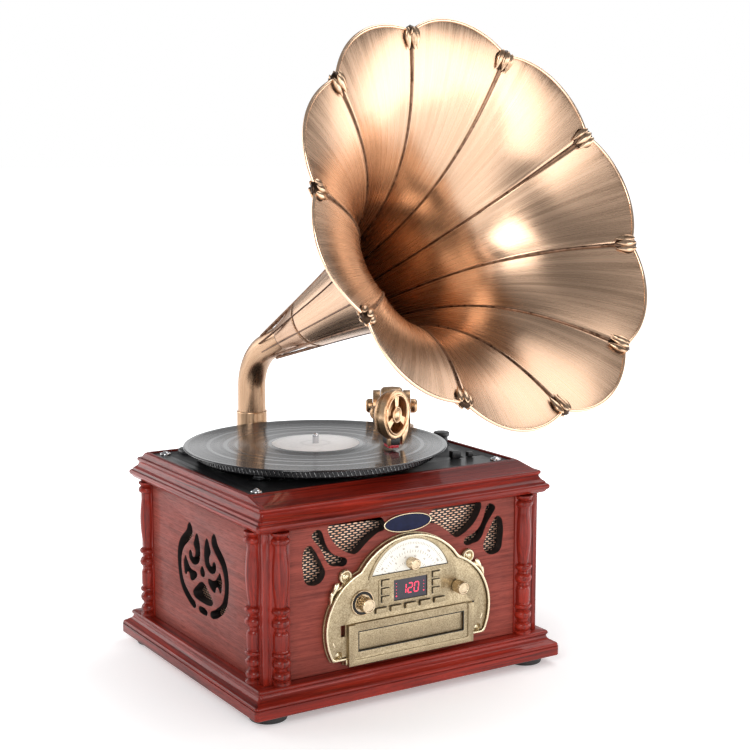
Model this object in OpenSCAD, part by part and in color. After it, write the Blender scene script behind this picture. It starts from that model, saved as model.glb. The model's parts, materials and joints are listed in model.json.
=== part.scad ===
// Tabletop music centre with a gramophone horn: a moulded wooden cabinet with a turntable,
// a cast faceplate with radio and disc controls, and a ten-petal horn on a rear bracket.

/* [Cabinet] */
// Width of the cabinet body
body_w = 350; // [330:1:370]
// Depth of the cabinet body
body_d = 306; // [296:1:320]
// Height of the rubber feet
foot_h = 10; // [6:1:16]
// Diameter of the rubber feet
foot_d = 40; // [24:1:46]
// Height of the plinth moulding
plinth_h = 28; // [24:1:34]
// Overhang of the plinth's base past the body
plinth_over = 20; // [16:1:26]
// Height of the body between plinth and lid
body_h = 160; // [158:1:164]
// Overhang of the lid's widest bead past the body
lid_over = 11; // [9:1:14]
// Height of the lid moulding
lid_h = 34; // [32:1:36]
// Thickness of the wooden panels
panel_t = 12; // [9:1:15]
// Width of the square corner posts
post_w = 31; // [29:1:33]
// Radius of the turned half columns
column_r = 10.5; // [8:0.5:11]

/* [Turntable] */
// Diameter of the record
record_d = 302; // [300:1:305]
// Diameter of the platter
platter_d = 278; // [260:1:284]
// Radius of the record spindle
spindle_r = 3.57; // [3.4:0.01:3.6]
// Distance from the arm's pivot to the stylus
arm_reach = 206; // [200:1:212]

/* [Horn] */
// Radius of the clip circle at the horn's rim
rim_r = 208; // [190:1:215]
// Length of the horn along its axis, from the elbow to the rim
horn_len = 418; // [400:1:425]
// How far the petals reach past the clip circle
petal_out = 18; // [12:1:22]
// Angle of the horn's axis above level
horn_elev = 24; // [18:1:30]
// Turn of the horn's axis away from straight ahead
horn_turn = 7.5; // [0:0.5:12]
// Radius of the elbow pipe
pipe_r = 17; // [15:0.5:18]
// Radius of the elbow's bend
bend_r = 60; // [50:1:66]

/* [Faceplate] */
// Travel of the disc tray
tray_travel = 110; // [90:1:120]
// Travel of the push buttons
button_travel = 1; // [0.6:0.1:1.2]

/* [Hidden] */
$fn = 64;
eps = 0.01;
far = 600;

// The plan centre of the cabinet, seen from the centre of the whole object's box
home = [-36.5, 63, 0];

// Heights of the cabinet's levels above the floor
plinth_top = foot_h + plinth_h;
body_top = plinth_top + body_h;
lid_top = body_top + lid_h;
deck_z = lid_top - 2;
platter_z = deck_z + 11;
record_z = platter_z + 7;
front_y = -body_d / 2;
back_y = body_d / 2;
side_x = body_w / 2;
panel_in = 1.5;

// The opening for the deck in the lid, as its low and high corners
deck_lo = [-170, -119];
deck_hi = [166, 137];
spindle_xy = [-19, 11];

// The arm: its pivot and the way it points
arm_xy = [147, 108];
arm_way = -122.5;
lift_z = deck_z + 32;
tip_z = record_z + 0.5;

// The horn's elbow
pipe_xy = [-11, 184];
bend_z = 288;
bend_turn = 90 - horn_elev;
seam_z = 259;
clip_phase = 26;
horn_wall = 2;

// Faceplate: sizes and places of its controls, across and up
plate_t = 3;
field_t = 3.5;
plate_base = plinth_top + 6.5;
dial_c = [0, 118.5];
dial_r = 52;
dial_flat = 136;
tune_c = [0, 144.5];
volume_c = [-60.5, 109.5];
function_c = [60.5, 109.5];
window_w = 43;
window_h = 23;
window_c = [0, 116.5];
button_x = 32.5;
side_btn = [9, 6];
row_btn = [13.5, 5];
row_z = 97.8;
row_step = 18.7;
tray_w = 134;
tray_h = 20;
tray_z = 69.5;
usb_c = [-84, 82.5];
jack_c = [83, 86.5];
badge_z = 187.2;
lobes = [[78.5, 139.5, 7.5], [89.5, 56.5, 6.8]];
plate_y = front_y + panel_in;
field_y = plate_y - plate_t - field_t;

module at_home() translate(home) children();

// Draws a flat shape on the front of the body, standing out by t from depth y
module on_front(y, t) translate([0, y, 0]) rotate([90, 0, 0]) linear_extrude(t) children();

// A rectangular block whose four sides follow one moulding, given as [overhang, height]
module moulded_block(w, d, line) {
    intersection() {
        rotate([90, 0, 0]) linear_extrude(far, center = true)
            polygon(concat([for (p = line) [w / 2 + p[0], p[1]]],
                           [for (i = [len(line) - 1:-1:0]) [-w / 2 - line[i][0], line[i][1]]]));
        rotate([90, 0, 90]) linear_extrude(far, center = true)
            polygon(concat([for (p = line) [d / 2 + p[0], p[1]]],
                           [for (i = [len(line) - 1:-1:0]) [-d / 2 - line[i][0], line[i][1]]]));
    }
}

// Points along an arc of radius r about c, from angle a to angle b
function arc(c, r, a, b, n = 6) = [for (i = [0:n]) let (t = a + (b - a) * i / n)
                                   [c[0] + r * cos(t), c[1] + r * sin(t)]];

module rounded_plate(w, h, r) {
    square([w - 2 * r, h], center = true);
    square([w, h - 2 * r], center = true);
    for (x = [-1, 1]) for (y = [-1, 1])
        translate([x * (w / 2 - r), y * (h / 2 - r)]) circle(r, $fn = 24);
}

// ---- Cabinet ----

module plinth() color([0.36, 0.07, 0.06]) at_home() difference() {
    moulded_block(body_w, body_d, concat(
        [[plinth_over - 1, foot_h], [plinth_over, foot_h + 1], [plinth_over, foot_h + 11]],
        arc([plinth_over - 3, foot_h + 12], 2.6, -40, 90, 5),
        [[plinth_over - 5, foot_h + 15]],
        arc([plinth_over - 3, foot_h + 23], 7, -108, -180, 5),
        arc([plinth_over - 11, plinth_top - 2.5], 2.5, -60, 90, 5),
        [[0, plinth_top]]));
    translate([0, 0, foot_h + plinth_h / 2])
        cube([body_w - 20, body_d - 20, plinth_h + 1], center = true);
}

module base_board() color([0.45, 0.33, 0.22]) at_home() difference() {
    translate([0, 0, plinth_top - 5]) cube([body_w - 20, body_d - 20, 10], center = true);
    for (x = [-40:10:40]) translate([x, 60, plinth_top - 5])
        cube([4, 60, 12], center = true);
}

module feet() color([0.06, 0.06, 0.06]) at_home()
    for (x = [-1, 1]) for (y = [-1, 1]) translate([x * 166, y * 144, 0]) difference() {
        rotate_extrude() polygon(concat([[0, 0], [foot_d / 2 - 3, 0]],
            arc([foot_d / 2 - 2, 2], 2, -60, 0, 3), [[foot_d / 2, foot_h], [0, foot_h]]));
        translate([0, 0, -eps]) cylinder(r = 6, h = foot_h - 4);
        cylinder(r = 2.2, h = foot_h + 1);
    }

module corner_posts() color([0.38, 0.07, 0.06]) at_home()
    for (x = [-1, 1]) for (y = [-1, 1]) scale([x, y, 1]) difference() {
        translate([side_x - post_w, back_y - post_w, plinth_top]) cube([post_w, post_w, body_h]);
        for (g = [[0, 7.5], [7.5, 0]])
            translate([side_x - g[0] - (g[1] ? 0.7 : 0), back_y - g[1] - (g[0] ? 0.7 : 0),
                       plinth_top - 1]) cube([1.4, 1.4, body_h + 2]);
    }

// The turned outline of a column, as [radius, height above the plinth]
column_line = concat(
    [[0, 0], [10.5, 0], [10.5, 3]],
    arc([5.2, 8.8], 5, -60, 60, 6), [[6.4, 14]],
    arc([4.8, 22.2], 5.6, -62, 62, 6), [[6.6, 28.5]],
    arc([8, 32], 2.5, -80, 80, 5), [[8, 36], [8.8, 38], [8.8, 52], [8, 55], [6.6, 56.5]],
    arc([4.4, 65], 6, -66, 66, 6), [[6.4, 72]],
    arc([7.6, 78], 2.9, -80, 80, 5), [[6.2, 82], [6.6, 85]],
    [for (i = [1:9]) [6.6 + 2.6 * sin(i * 18), 85 + i * 6]],
    [[6.8, 143]],
    arc([6.6, 151], 3.9, -75, 75, 6), [[8, 156], [10, 158], [10, 160], [0, 160]]);

module half_column() rotate_extrude(angle = 180)
    polygon([for (p = column_line) [p[0] * column_r / 10.5, p[1] * body_h / 160]]);

module columns() color([0.42, 0.08, 0.06]) at_home() {
    for (x = [-1, 1]) translate([x * (side_x - 19.5), front_y, plinth_top])
        rotate([0, 0, 180]) half_column();
    for (x = [-1, 1]) for (y = [-1, 1])
        translate([x * side_x, y * (back_y - 19.5), plinth_top])
            rotate([0, 0, x > 0 ? -90 : 90]) half_column();
}

// Openings in the right half of the front panel, seen from the front
module front_frets() for (m = [0, 1]) mirror([m, 0]) {
    polygon([[28, 184], [33, 196], [97, 196], [98, 193], [96, 186], [90, 176.5], [81, 168.5],
        [72, 163.5], [65, 161.5], [60, 164], [53, 170], [45, 176], [36, 181]]);
    polygon([[105, 190], [109, 193.5], [114, 192], [117, 188], [113, 181], [109, 176],
        [105, 170], [103, 166], [99, 157.5], [94, 153], [86, 151.5], [79, 150.5], [75, 153.5],
        [76, 158], [83, 161], [90, 164], [96.5, 170], [101, 178.5], [103.5, 186]]);
    polygon([[120, 178], [125, 175.5], [127.5, 170], [127.5, 150], [124.5, 139], [118, 135.5],
        [111, 135.5], [105, 139], [101.5, 146], [104, 154], [109, 163.5], [114.5, 173]]);
}

module front_panel() color([0.4, 0.1, 0.1]) at_home() difference() {
    on_front(front_y + panel_in + panel_t, panel_t)
        difference() {
            translate([-(side_x - post_w), plinth_top]) square([body_w - 2 * post_w, body_h]);
            front_frets();
            translate([-72, 50]) square([144, 100]);
            translate(jack_c) circle(5);
            translate(usb_c) square([10, 16], center = true);
        }
}

// Openings of the side's tulip, with the front of the cabinet to the right: on each half an
// outer crescent, a hook and a leaf, then a drop, a bell and a small foot on the centre line
module tulip() {
    for (m = [0, 1]) mirror([m, 0]) {
        polygon([[30, 173], [35, 170], [39, 163], [48, 156], [57, 148], [62, 139], [64, 130],
            [64, 120], [62, 109], [59, 100], [52, 91], [42, 84], [29, 78], [21, 77], [18, 80],
            [20, 84], [27, 87], [36, 92], [45, 98], [51, 106], [54, 115], [54, 126], [51, 135],
            [46, 142], [38, 148], [29, 155], [24, 161], [24, 167], [27, 171]]);
        polygon([[12.5, 164], [16.5, 161], [19, 156], [21.5, 151], [20.5, 148], [18, 145],
            [17.5, 140], [20, 136], [23.5, 135.5], [26, 139], [28.5, 141.5], [32, 141],
            [34, 137], [33, 132], [27, 128], [21, 127], [14, 129], [8.5, 132.5], [5.5, 139],
            [5, 148], [7, 157], [9.5, 162]]);
        polygon([[43, 132.5], [46, 129], [48, 124], [47, 117], [45.5, 111.5], [42.5, 110.5],
            [39, 114.5], [35, 115], [32.5, 111.5], [31, 108], [26.5, 107.5], [18.5, 111.5],
            [14, 115.5], [14, 118.5], [17, 120], [23, 120], [30, 121], [36.5, 126],
            [40.5, 130.5]]);
    }
    polygon([[0, 130], [4, 127], [6, 123], [4.5, 119.5], [0, 118], [-4.5, 119.5], [-6, 123],
        [-4, 127]]);
    polygon([[0, 112], [6, 110.5], [15, 104.5], [23, 98], [25, 95], [22, 91], [14, 89],
        [0, 88.5], [-14, 89], [-22, 91], [-25, 95], [-23, 98], [-15, 104.5], [-6, 110.5]]);
    polygon([[0, 83.5], [8, 82.5], [11, 80.5], [9, 76.5], [3, 75.5], [-3, 75.5], [-9, 76.5],
        [-11, 80.5], [-8, 82.5]]);
}

module side_panel() rotate([90, 0, 90]) linear_extrude(panel_t) difference() {
    translate([-(back_y - post_w), plinth_top]) square([body_d - 2 * post_w, body_h]);
    translate([-8, 0]) tulip();
}
module left_panel() color([0.42, 0.16, 0.15]) at_home()
    translate([-side_x + panel_in, 0, 0]) side_panel();
module right_panel() color([0.42, 0.16, 0.15]) at_home()
    translate([side_x - panel_in - panel_t, 0, 0]) side_panel();

module back_panel() color([0.3, 0.09, 0.08]) at_home() difference() {
    translate([-(side_x - post_w), back_y - panel_in - panel_t, plinth_top])
        cube([body_w - 2 * post_w, panel_t, body_h]);
    translate([40, back_y - panel_in - panel_t - 1, plinth_top + 22]) cube([90, panel_t + 2, 50]);
    for (x = [-120:10:-60]) translate([x, back_y - 20, plinth_top + 30]) cube([4, 40, 60]);
}

module grille_mesh() color([0.62, 0.36, 0.24]) at_home() {
    for (x = [-1, 1]) translate([x * 78, front_y + panel_in + panel_t + 0.5, 166])
        cube([108, 1, 62], center = true);
    for (x = [-1, 1]) translate([x * (side_x - panel_in - panel_t - 0.5), -8, 120])
        cube([1, 140, 130], center = true);
}

module speakers() color([0.1, 0.1, 0.11]) at_home()
    for (x = [-1, 1]) translate([x * (side_x - panel_in - panel_t - 1), -8, 120])
        rotate([0, -90 * x, 0]) rotate_extrude() polygon([[0, 24], [12, 20], [40, 4], [44, 0],
            [52, 0], [52, 3], [46, 4], [30, 30], [30, 34], [34, 34], [34, 50], [0, 50]]);

lid_slope = 26;
ledge = 8;
boss_r = 8.8;
module lid_frame() color([0.37, 0.07, 0.06]) at_home() difference() {
    union() {
        moulded_block(body_w, body_d, concat(
            [[2, body_top], [3, body_top + 1]],
            arc([lid_over - 8, body_top + 8], 7, -90, -50, 3),
            arc([lid_over - 3.5, body_top + 8], 3.5, -70, 80, 6),
            [[lid_over - 3.5, body_top + 12.5]],
            arc([lid_over + 1, body_top + 23], 10.5, -118, -165, 4),
            arc([1.5, body_top + 24], 2.2, -40, 80, 4), [[0, body_top + lid_slope]]));
        intersection() {
            rotate([90, 0, 0]) linear_extrude(far, center = true)
                polygon([[-side_x, body_top + 20], [side_x, body_top + 20],
                         [side_x, body_top + lid_slope], [deck_hi[0] + 4, lid_top - 1],
                         [deck_lo[0] - 4, lid_top - 1], [-side_x, body_top + lid_slope]]);
            rotate([90, 0, 90]) linear_extrude(far, center = true)
                polygon([[front_y, body_top + 20], [back_y, body_top + 20],
                         [back_y, body_top + lid_slope], [deck_hi[1] + 4, lid_top - 1],
                         [deck_lo[1] - 4, lid_top - 1], [front_y, body_top + lid_slope]]);
        }
        translate([deck_lo[0] - 3, deck_lo[1] - 3, lid_top - 8])
            cube([deck_hi[0] - deck_lo[0] + 6, deck_hi[1] - deck_lo[1] + 6, 8]);
    }
    translate([deck_lo[0], deck_lo[1], deck_z - 4])
        cube([deck_hi[0] - deck_lo[0], deck_hi[1] - deck_lo[1], 20]);
    translate([deck_lo[0] + ledge, deck_lo[1] + ledge, body_top - 5])
        cube([deck_hi[0] - deck_lo[0] - 2 * ledge, deck_hi[1] - deck_lo[1] - 2 * ledge, 60]);
}

// ---- Turntable deck ----

deck_t = 4;
pulley_xy = [-125, -53];
rim_in_r = 110;
speed_xy = [157, 12];
stop_xy = [121, -72];
pitch_xy = [143, -74];
pitch_travel = 6;
screw_inset = 14;
screw_xy = [[deck_lo[0] + screw_inset, deck_lo[1] + screw_inset],
            [deck_hi[0] - screw_inset, deck_lo[1] + screw_inset],
            [deck_lo[0] + screw_inset, deck_hi[1] - screw_inset],
            [deck_hi[0] - screw_inset - 36, deck_hi[1] - screw_inset]];

module deck_plate() color([0.05, 0.05, 0.055]) at_home() difference() {
    translate([deck_lo[0], deck_lo[1], deck_z - deck_t])
        cube([deck_hi[0] - deck_lo[0], deck_hi[1] - deck_lo[1], deck_t]);
    translate([spindle_xy[0], spindle_xy[1], deck_z - 10]) cylinder(r = 8, h = 20);
    translate([pulley_xy[0], pulley_xy[1], deck_z - 10]) cylinder(r = 12, h = 20);
    translate([arm_xy[0], arm_xy[1], deck_z - 10]) cylinder(r = boss_r + 0.1, h = 20);
    translate([speed_xy[0], speed_xy[1], deck_z - 10]) cylinder(r = 3.05, h = 20);
    translate([stop_xy[0], stop_xy[1], deck_z]) cube([16.4, 5.4, 20], center = true);
    translate([pitch_xy[0], pitch_xy[1], deck_z]) cube([20, 2.4, 20], center = true);
    for (p = screw_xy) translate([p[0], p[1], deck_z - 10]) cylinder(r = 2.2, h = 20);
}

module deck_screws() color([0.8, 0.8, 0.82]) at_home() for (p = screw_xy)
    translate([p[0], p[1], deck_z]) difference() {
        rotate_extrude() polygon(concat([[0, -16], [2, -16], [2, 0], [6.5, 0]],
            arc([5, 0.6], 1.5, 0, 90, 4), arc([0, -1.4], 5.4, 50, 90, 5)));
        translate([0, 0, 4]) cube([6, 1, 2], center = true);
        translate([0, 0, 4]) cube([1, 6, 2], center = true);
    }

module spindle_bush() color([0.72, 0.55, 0.3]) at_home()
    translate([spindle_xy[0], spindle_xy[1], deck_z - 34]) difference() {
        union() {
            cylinder(r = 8, h = 34.6);
            translate([0, 0, 27]) cylinder(r = 16, h = 3);
        }
        translate([0, 0, 4]) cylinder(r = 3.05, h = 40);
    }

// The spindle is a little thicker where the platter, mat and record sit on it
seat_r = spindle_r + 0.2;
module spindle() color([0.85, 0.85, 0.87]) at_home()
    translate([spindle_xy[0], spindle_xy[1], 0]) {
        translate([0, 0, deck_z - 29]) cylinder(r = 3, h = platter_z - deck_z + 28);
        translate([0, 0, platter_z - 3]) cylinder(r = 6, h = 3);
        translate([0, 0, platter_z - 1]) cylinder(r = seat_r, h = record_z - platter_z + 1.1);
        translate([0, 0, record_z - 1]) cylinder(r = spindle_r, h = 9);
        translate([0, 0, record_z + 8]) cylinder(r1 = spindle_r, r2 = 1.8, h = 4);
    }

module platter() color([0.09, 0.09, 0.1]) at_home()
    translate([spindle_xy[0], spindle_xy[1], platter_z]) difference() {
        union() {
            rotate_extrude($fn = 96) polygon([[0, -3], [104, -3], [104, -8.6], [rim_in_r, -8.6],
                [rim_in_r, -3], [platter_d / 2 - 3, -4.5], [platter_d / 2, -3],
                [platter_d / 2, 3.4], [platter_d / 2 - 2, 4.4], [platter_d / 2 - 5, 2], [0, 2]]);
        }
        translate([0, 0, -5]) cylinder(r = seat_r + 0.04, h = 20);
        translate([0, 0, -3 - eps]) cylinder(r = 6, h = 3);
    }

module slip_mat() color([0.07, 0.07, 0.07]) at_home()
    translate([spindle_xy[0], spindle_xy[1], platter_z + 2]) difference() {
        cylinder(r = platter_d / 2 - 6, h = 3.2, $fn = 96);
        translate([0, 0, -1]) cylinder(r = seat_r + 0.04, h = 9);
    }

module record() color([0.03, 0.03, 0.035]) at_home()
    translate([spindle_xy[0], spindle_xy[1], record_z - 1.8]) difference() {
        rotate_extrude($fn = 96) polygon([[0, 0], [record_d / 2 - 1, 0], [record_d / 2, 0.5],
            [record_d / 2, 1.6], [record_d / 2 - 1, 1.9], [record_d / 2 - 5, 1.5],
            [57, 1.5], [50, 1.9], [0, 1.9]]);
        translate([0, 0, -1]) cylinder(r = seat_r + 0.04, h = 9);
    }

module motor() color([0.6, 0.6, 0.62]) at_home()
    translate([pulley_xy[0], pulley_xy[1], deck_z - deck_t - 32]) difference() {
        union() {
            cylinder(r = 18, h = 30);
            translate([0, 0, 30]) cylinder(r = 24, h = 2);
        }
        translate([0, 0, 6]) cylinder(r = 1.55, h = 40);
    }

module motor_pulley() color([0.78, 0.62, 0.34]) at_home()
    translate([pulley_xy[0], pulley_xy[1], 0]) {
        translate([0, 0, deck_z - deck_t - 24]) cylinder(r = 1.5, h = deck_t + 27);
        translate([0, 0, deck_z + 1.6]) rotate_extrude() polygon([[0, 0], [8, 0], [8, 0.6],
            [6.5, 1.2], [6.5, 3.2], [8, 3.8], [8, 4.4], [0, 4.4]]);
    }

module adapter_45() color([0.1, 0.1, 0.11]) at_home()
    translate([-122, 117, deck_z]) rotate_extrude()
        polygon(concat([[0, 0], [19, 0], [19, 2.4]], arc([16, 2.4], 3, 0, 80, 4),
            [[11, 5.6]], arc([5.5, 6.6], 2, 20, 90, 4), [[0, 8.8]]));

module speed_knob() color([0.08, 0.08, 0.085]) at_home()
    translate([speed_xy[0], speed_xy[1], deck_z]) {
        translate([0, 0, -3.6]) cylinder(r = 3, h = 5);
        translate([0, 0, 0.4]) difference() {
            rotate_extrude() polygon([[0, 0], [8, 0], [7.5, 7], [9.6, 8.4], [9.6, 12],
                                      [8.6, 13], [0, 13]]);
            translate([5, 0, 13]) cube([8, 1.2, 1.2], center = true);
        }
    }

module stop_switch() color([0.12, 0.12, 0.125]) at_home()
    translate([stop_xy[0] - 2.8, stop_xy[1], deck_z]) {
        translate([0, 0, 2.5]) cube([10, 4.8, 12], center = true);
        translate([0, 0, 4.5]) cube([11.6, 7.4, 7.6], center = true);
    }

module pitch_slider() color([0.12, 0.12, 0.125]) at_home()
    translate([pitch_xy[0] - pitch_travel, pitch_xy[1], deck_z]) {
        translate([0, 0, -2]) cube([5, 1.8, 6], center = true);
        translate([0, 0, 3.2]) cube([7, 6.4, 5.6], center = true);
    }

// ---- Arm ----

// Arm frame: X points from the pivot to the stylus
module at_arm() translate([arm_xy[0], arm_xy[1], 0]) rotate([0, 0, arm_way]) children();
drum_r = 24;
drum_w = 28;
ear_t = 9;
face_turn = 59;
disc_r = 28;
disc_z = tip_z + 39;
neck = 20;

module arm_base() color([0.62, 0.44, 0.28]) at_home() at_arm() difference() {
    rotate_extrude() polygon([[0, deck_z - 20], [boss_r, deck_z - 20], [boss_r, deck_z],
        [18.5, deck_z], [18.5, deck_z + 1.5], [17, deck_z + 3], [0, deck_z + 3]]);
    translate([0, 0, deck_z - 16]) cylinder(r = 6.06, h = 60);
}

module arm_yoke() color([0.66, 0.47, 0.3]) at_home() at_arm() difference() {
    union() {
        translate([0, 0, deck_z - 15]) cylinder(r = 6, h = 20);
        translate([0, 0, deck_z + 3.4]) cylinder(r = 28, h = 3.6);
        for (s = [-1, 1]) translate([0, s * (drum_w / 2 + 0.4 + ear_t / 2), 0]) {
            translate([0, 0, lift_z]) rotate([90, 0, 0]) cylinder(r = 20, h = ear_t, center = true);
            translate([0, 0, deck_z + 3.4 + 14])
                cube([34, ear_t, 28], center = true);
        }
    }
    translate([0, 0, lift_z]) rotate([90, 0, 0]) cylinder(r = 4.05, h = 80, center = true);
}

module arm_tube() color([0.68, 0.48, 0.3]) at_home() at_arm() {
    translate([0, 0, lift_z]) rotate([90, 0, 0]) {
        cylinder(r = drum_r, h = drum_w, center = true);
        cylinder(r = 4, h = drum_w + 2 * ear_t + 4, center = true);
        for (s = [-1, 1]) translate([0, 0, s * (drum_w / 2 + ear_t + 5)]) difference() {
            cylinder(r = 9, h = 8, center = true);
            translate([0, 0, s * 4]) cylinder(r = 4, h = 2, center = true);
        }
    }
    tube_from = [10, 0, lift_z + 4];
    tube_to = [arm_reach - 1 - neck * cos(face_turn), -neck * sin(face_turn), disc_z];
    span = tube_to - tube_from;
    translate(tube_from) rotate([0, acos(span[2] / norm(span)), atan2(span[1], span[0])])
        cylinder(r = 8, h = norm(span));
    translate(tube_to) sphere(r = 8.5);
    translate(tube_to) rotate([0, 90, face_turn]) cylinder(r = 6, h = neck - 12);
}

// The sound box: its frame has Z out of the disc's face
module at_disc() at_arm() translate([arm_reach - 1, 0, disc_z]) rotate([0, 0, face_turn])
    rotate([0, 90, 0]) rotate([0, 0, 90]) children();

module soundbox_cup() color([0.64, 0.45, 0.28]) at_home() at_disc() difference() {
    rotate_extrude() polygon(concat([[0, -12], [18, -12]], arc([18, -4], 8, -90, 0, 5),
        [[26, 2], [0, 2]]));
    translate([0, 0, -8]) cylinder(r = 22, h = 20);
    translate([0, 0, -20]) cylinder(r = 3, h = 20);
}

module soundbox_ring() color([0.86, 0.64, 0.38]) at_home() at_disc() {
    translate([0, 0, 2]) rotate_extrude() polygon([[21.5, 0], [26, 0], [26, -3], [disc_r, -3],
        [disc_r, 4], [26.5, 5.4], [22.5, 5.4], [21.5, 4]]);
    translate([0, 0, 2]) cylinder(r = 7.6, h = 5);
    for (a = [90, 210, 330]) rotate([0, 0, a]) translate([14.5, 0, 4])
        cube([16, 5.2, 3.6], center = true);
    translate([0, 0, 2]) linear_extrude(3.6) difference() {
        polygon(concat(arc([0, 0], 26.5, -62, -12, 6), arc([-1, -12], 28.5, 0, -44, 6),
            [[16, -36], [13, -36], [14, -30]]));
        circle(25);
    }
}

module cartridge() color([0.05, 0.05, 0.055]) at_home() at_arm()
    translate([arm_reach - 5, -1, tip_z + 9]) rotate([0, 0, 20]) {
        cube([22, 13, 8], center = true);
        translate([-1, 0, 4]) cube([8, 8, 6], center = true);
    }

module stylus() color([0.75, 0.08, 0.12]) at_home() at_arm()
    translate([arm_reach, 0, 0]) {
        translate([-1, -1, tip_z + 3.6]) rotate([0, 0, 20]) cube([16, 12, 2.8], center = true);
        translate([0, 0, tip_z]) cylinder(r1 = 0.4, r2 = 1.4, h = 3.2);
    }

// ---- Horn ----

horn_h = [sin(horn_turn), -cos(horn_turn)];
elbow_end = [pipe_xy[0] + horn_h[0] * bend_r * (1 - cos(bend_turn)),
             pipe_xy[1] + horn_h[1] * bend_r * (1 - cos(bend_turn)),
             bend_z + bend_r * sin(bend_turn)];

// Horn frame: Z runs along the axis from the elbow's end to the mouth
module at_horn() translate(elbow_end) rotate([0, 0, horn_turn]) rotate([90 - horn_elev, 0, 0])
    children();

// Radius of the horn's inside at a distance s along its axis
function bell_r(s) = 15 + 0.15 * s + (rim_r - 15 - 0.15 * horn_len) * pow(s / horn_len, 6);
lip_s = horn_len + 8;
throat_len = 100;
ring_t = 4;

module horn_bracket() color([0.6, 0.42, 0.26]) at_home() difference() {
    union() {
        translate([pipe_xy[0] - 45, back_y - panel_in, 120]) cube([90, 4, 66]);
        translate([pipe_xy[0] - 11, back_y, 126]) cube([22, pipe_xy[1] - back_y, 54]);
        translate([pipe_xy[0], pipe_xy[1], 120]) cylinder(r = pipe_r + 1.5, h = seam_z - 120);
    }
    translate([pipe_xy[0], pipe_xy[1], seam_z - 70]) cylinder(r = pipe_r - 1.94, h = 80);
    for (x = [-1, 1]) for (z = [132, 174])
        translate([pipe_xy[0] + x * 36, back_y - 10, z]) rotate([-90, 0, 0])
            cylinder(r = 2.5, h = 30);
}

// A rod along the elbow's whole line: up the pipe, round the bend and through the joint ring
module elbow_line(r, foot_z, ring_r) {
    translate([pipe_xy[0], pipe_xy[1], foot_z]) cylinder(r = r, h = bend_z - foot_z + 0.5);
    translate([pipe_xy[0], pipe_xy[1], bend_z]) rotate([90, 0, horn_turn - 90])
        translate([bend_r, 0, 0]) rotate_extrude(angle = -bend_turn)
            translate([-bend_r, 0]) circle(r - 0.1);
    at_horn() translate([0, 0, -0.5]) cylinder(r = ring_r, h = ring_t + 0.5);
}

module elbow_pipe() color([0.72, 0.5, 0.33]) at_home() difference() {
    union() {
        elbow_line(pipe_r, seam_z + 0.4, pipe_r + 0.6);
        translate([pipe_xy[0], pipe_xy[1], seam_z - 60]) cylinder(r = pipe_r - 2, h = 65);
    }
    elbow_line(pipe_r - 4.5, seam_z - 62, pipe_r - 4.4);
    at_horn() translate([0, 0, -0.3]) cylinder(r = pipe_r - 4.4, h = ring_t + 3);
}

module throat_cone() color([0.7, 0.5, 0.34]) at_home() at_horn() rotate_extrude()
    polygon(concat([for (s = [ring_t:16:throat_len]) [bell_r(s), s]],
        [for (s = [throat_len:-16:ring_t]) [bell_r(s) + horn_wall, s]]));

// The mouth's outline: ten lobes that meet at the clips
module petals() {
    lobe_c = rim_r - 69.4 + petal_out - 18;
    circle(rim_r * 0.97);
    for (i = [0:9]) rotate([0, 0, clip_phase + 18 + 36 * i]) translate([lobe_c, 0])
        circle(rim_r + petal_out - lobe_c);
}

// The bell is ten separate sheets that meet at the ribs
module horn_bell() color([0.78, 0.58, 0.42]) at_home() at_horn() intersection() {
    for (p = [0:9]) rotate([0, 0, clip_phase + 36 * p + 0.06])
        rotate_extrude(angle = 35.88, $fn = 96) polygon(concat(
        [for (i = [0:12]) let (s = throat_len + (lip_s - throat_len) * sin(i * 7.5)) [bell_r(s), s]],
        [for (i = [12:-1:0]) let (s = throat_len + (lip_s - throat_len) * sin(i * 7.5))
            [bell_r(s) + horn_wall * (1 + i / 12), s - i * 0.15]]));
    linear_extrude(far) petals();
}

module horn_ribs() color([0.3, 0.2, 0.16]) at_home() at_horn() {
    for (i = [0:9]) rotate([0, 0, clip_phase + 36 * i]) rotate([90, 0, 0])
        linear_extrude(1.6, center = true) polygon(concat(
            [for (k = [0:10]) let (s = throat_len + (horn_len - throat_len) * sin(k * 9))
                [bell_r(s) + 1, s]],
            [for (k = [10:-1:0]) let (s = throat_len + (horn_len - throat_len) * sin(k * 9))
                [bell_r(s) - 1, s]]));
}

module rim_clips() color([0.45, 0.3, 0.24]) at_home() at_horn()
    for (i = [0:9]) rotate([0, 0, clip_phase + 36 * i]) translate([rim_r - 6, 0, horn_len - 3])
        rotate([0, -26, 0]) scale([1, 0.68, 0.5]) sphere(r = 13.5, $fn = 24);

// ---- Faceplate ----

// The plate's outline, drawn smaller by inset
module plate_outline(inset = 0) {
    intersection() {
        translate([0, 176.5 - 77.5]) circle(77.5 - inset, $fn = 96);
        translate([-100, 99]) square([200, 100]);
    }
    for (x = [-1, 1]) intersection() {
        translate([x * 40, 82]) circle(66 - inset, $fn = 96);
        translate([-120, 50 + inset]) square([240, 110]);
    }
    translate([-82.5 + inset, plate_base + inset]) square([165 - 2 * inset, 70]);
}
module plate_lobes() for (m = [0, 1]) mirror([m, 0]) {
    for (b = lobes) translate([b[0], b[1]]) circle(b[2], $fn = 32);
    translate([92, 124]) rotate(25) square([7, 14], center = true);
    translate([96, 66]) rotate(-30) square([6, 12], center = true);
}
module dial_shape(inset = 0) intersection() {
    translate(dial_c) circle(dial_r - inset, $fn = 96);
    translate([-80, dial_flat + inset]) square([160, 60]);
}
function side_btn_z(i) = 127.2 - 8.9 * i;

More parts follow.
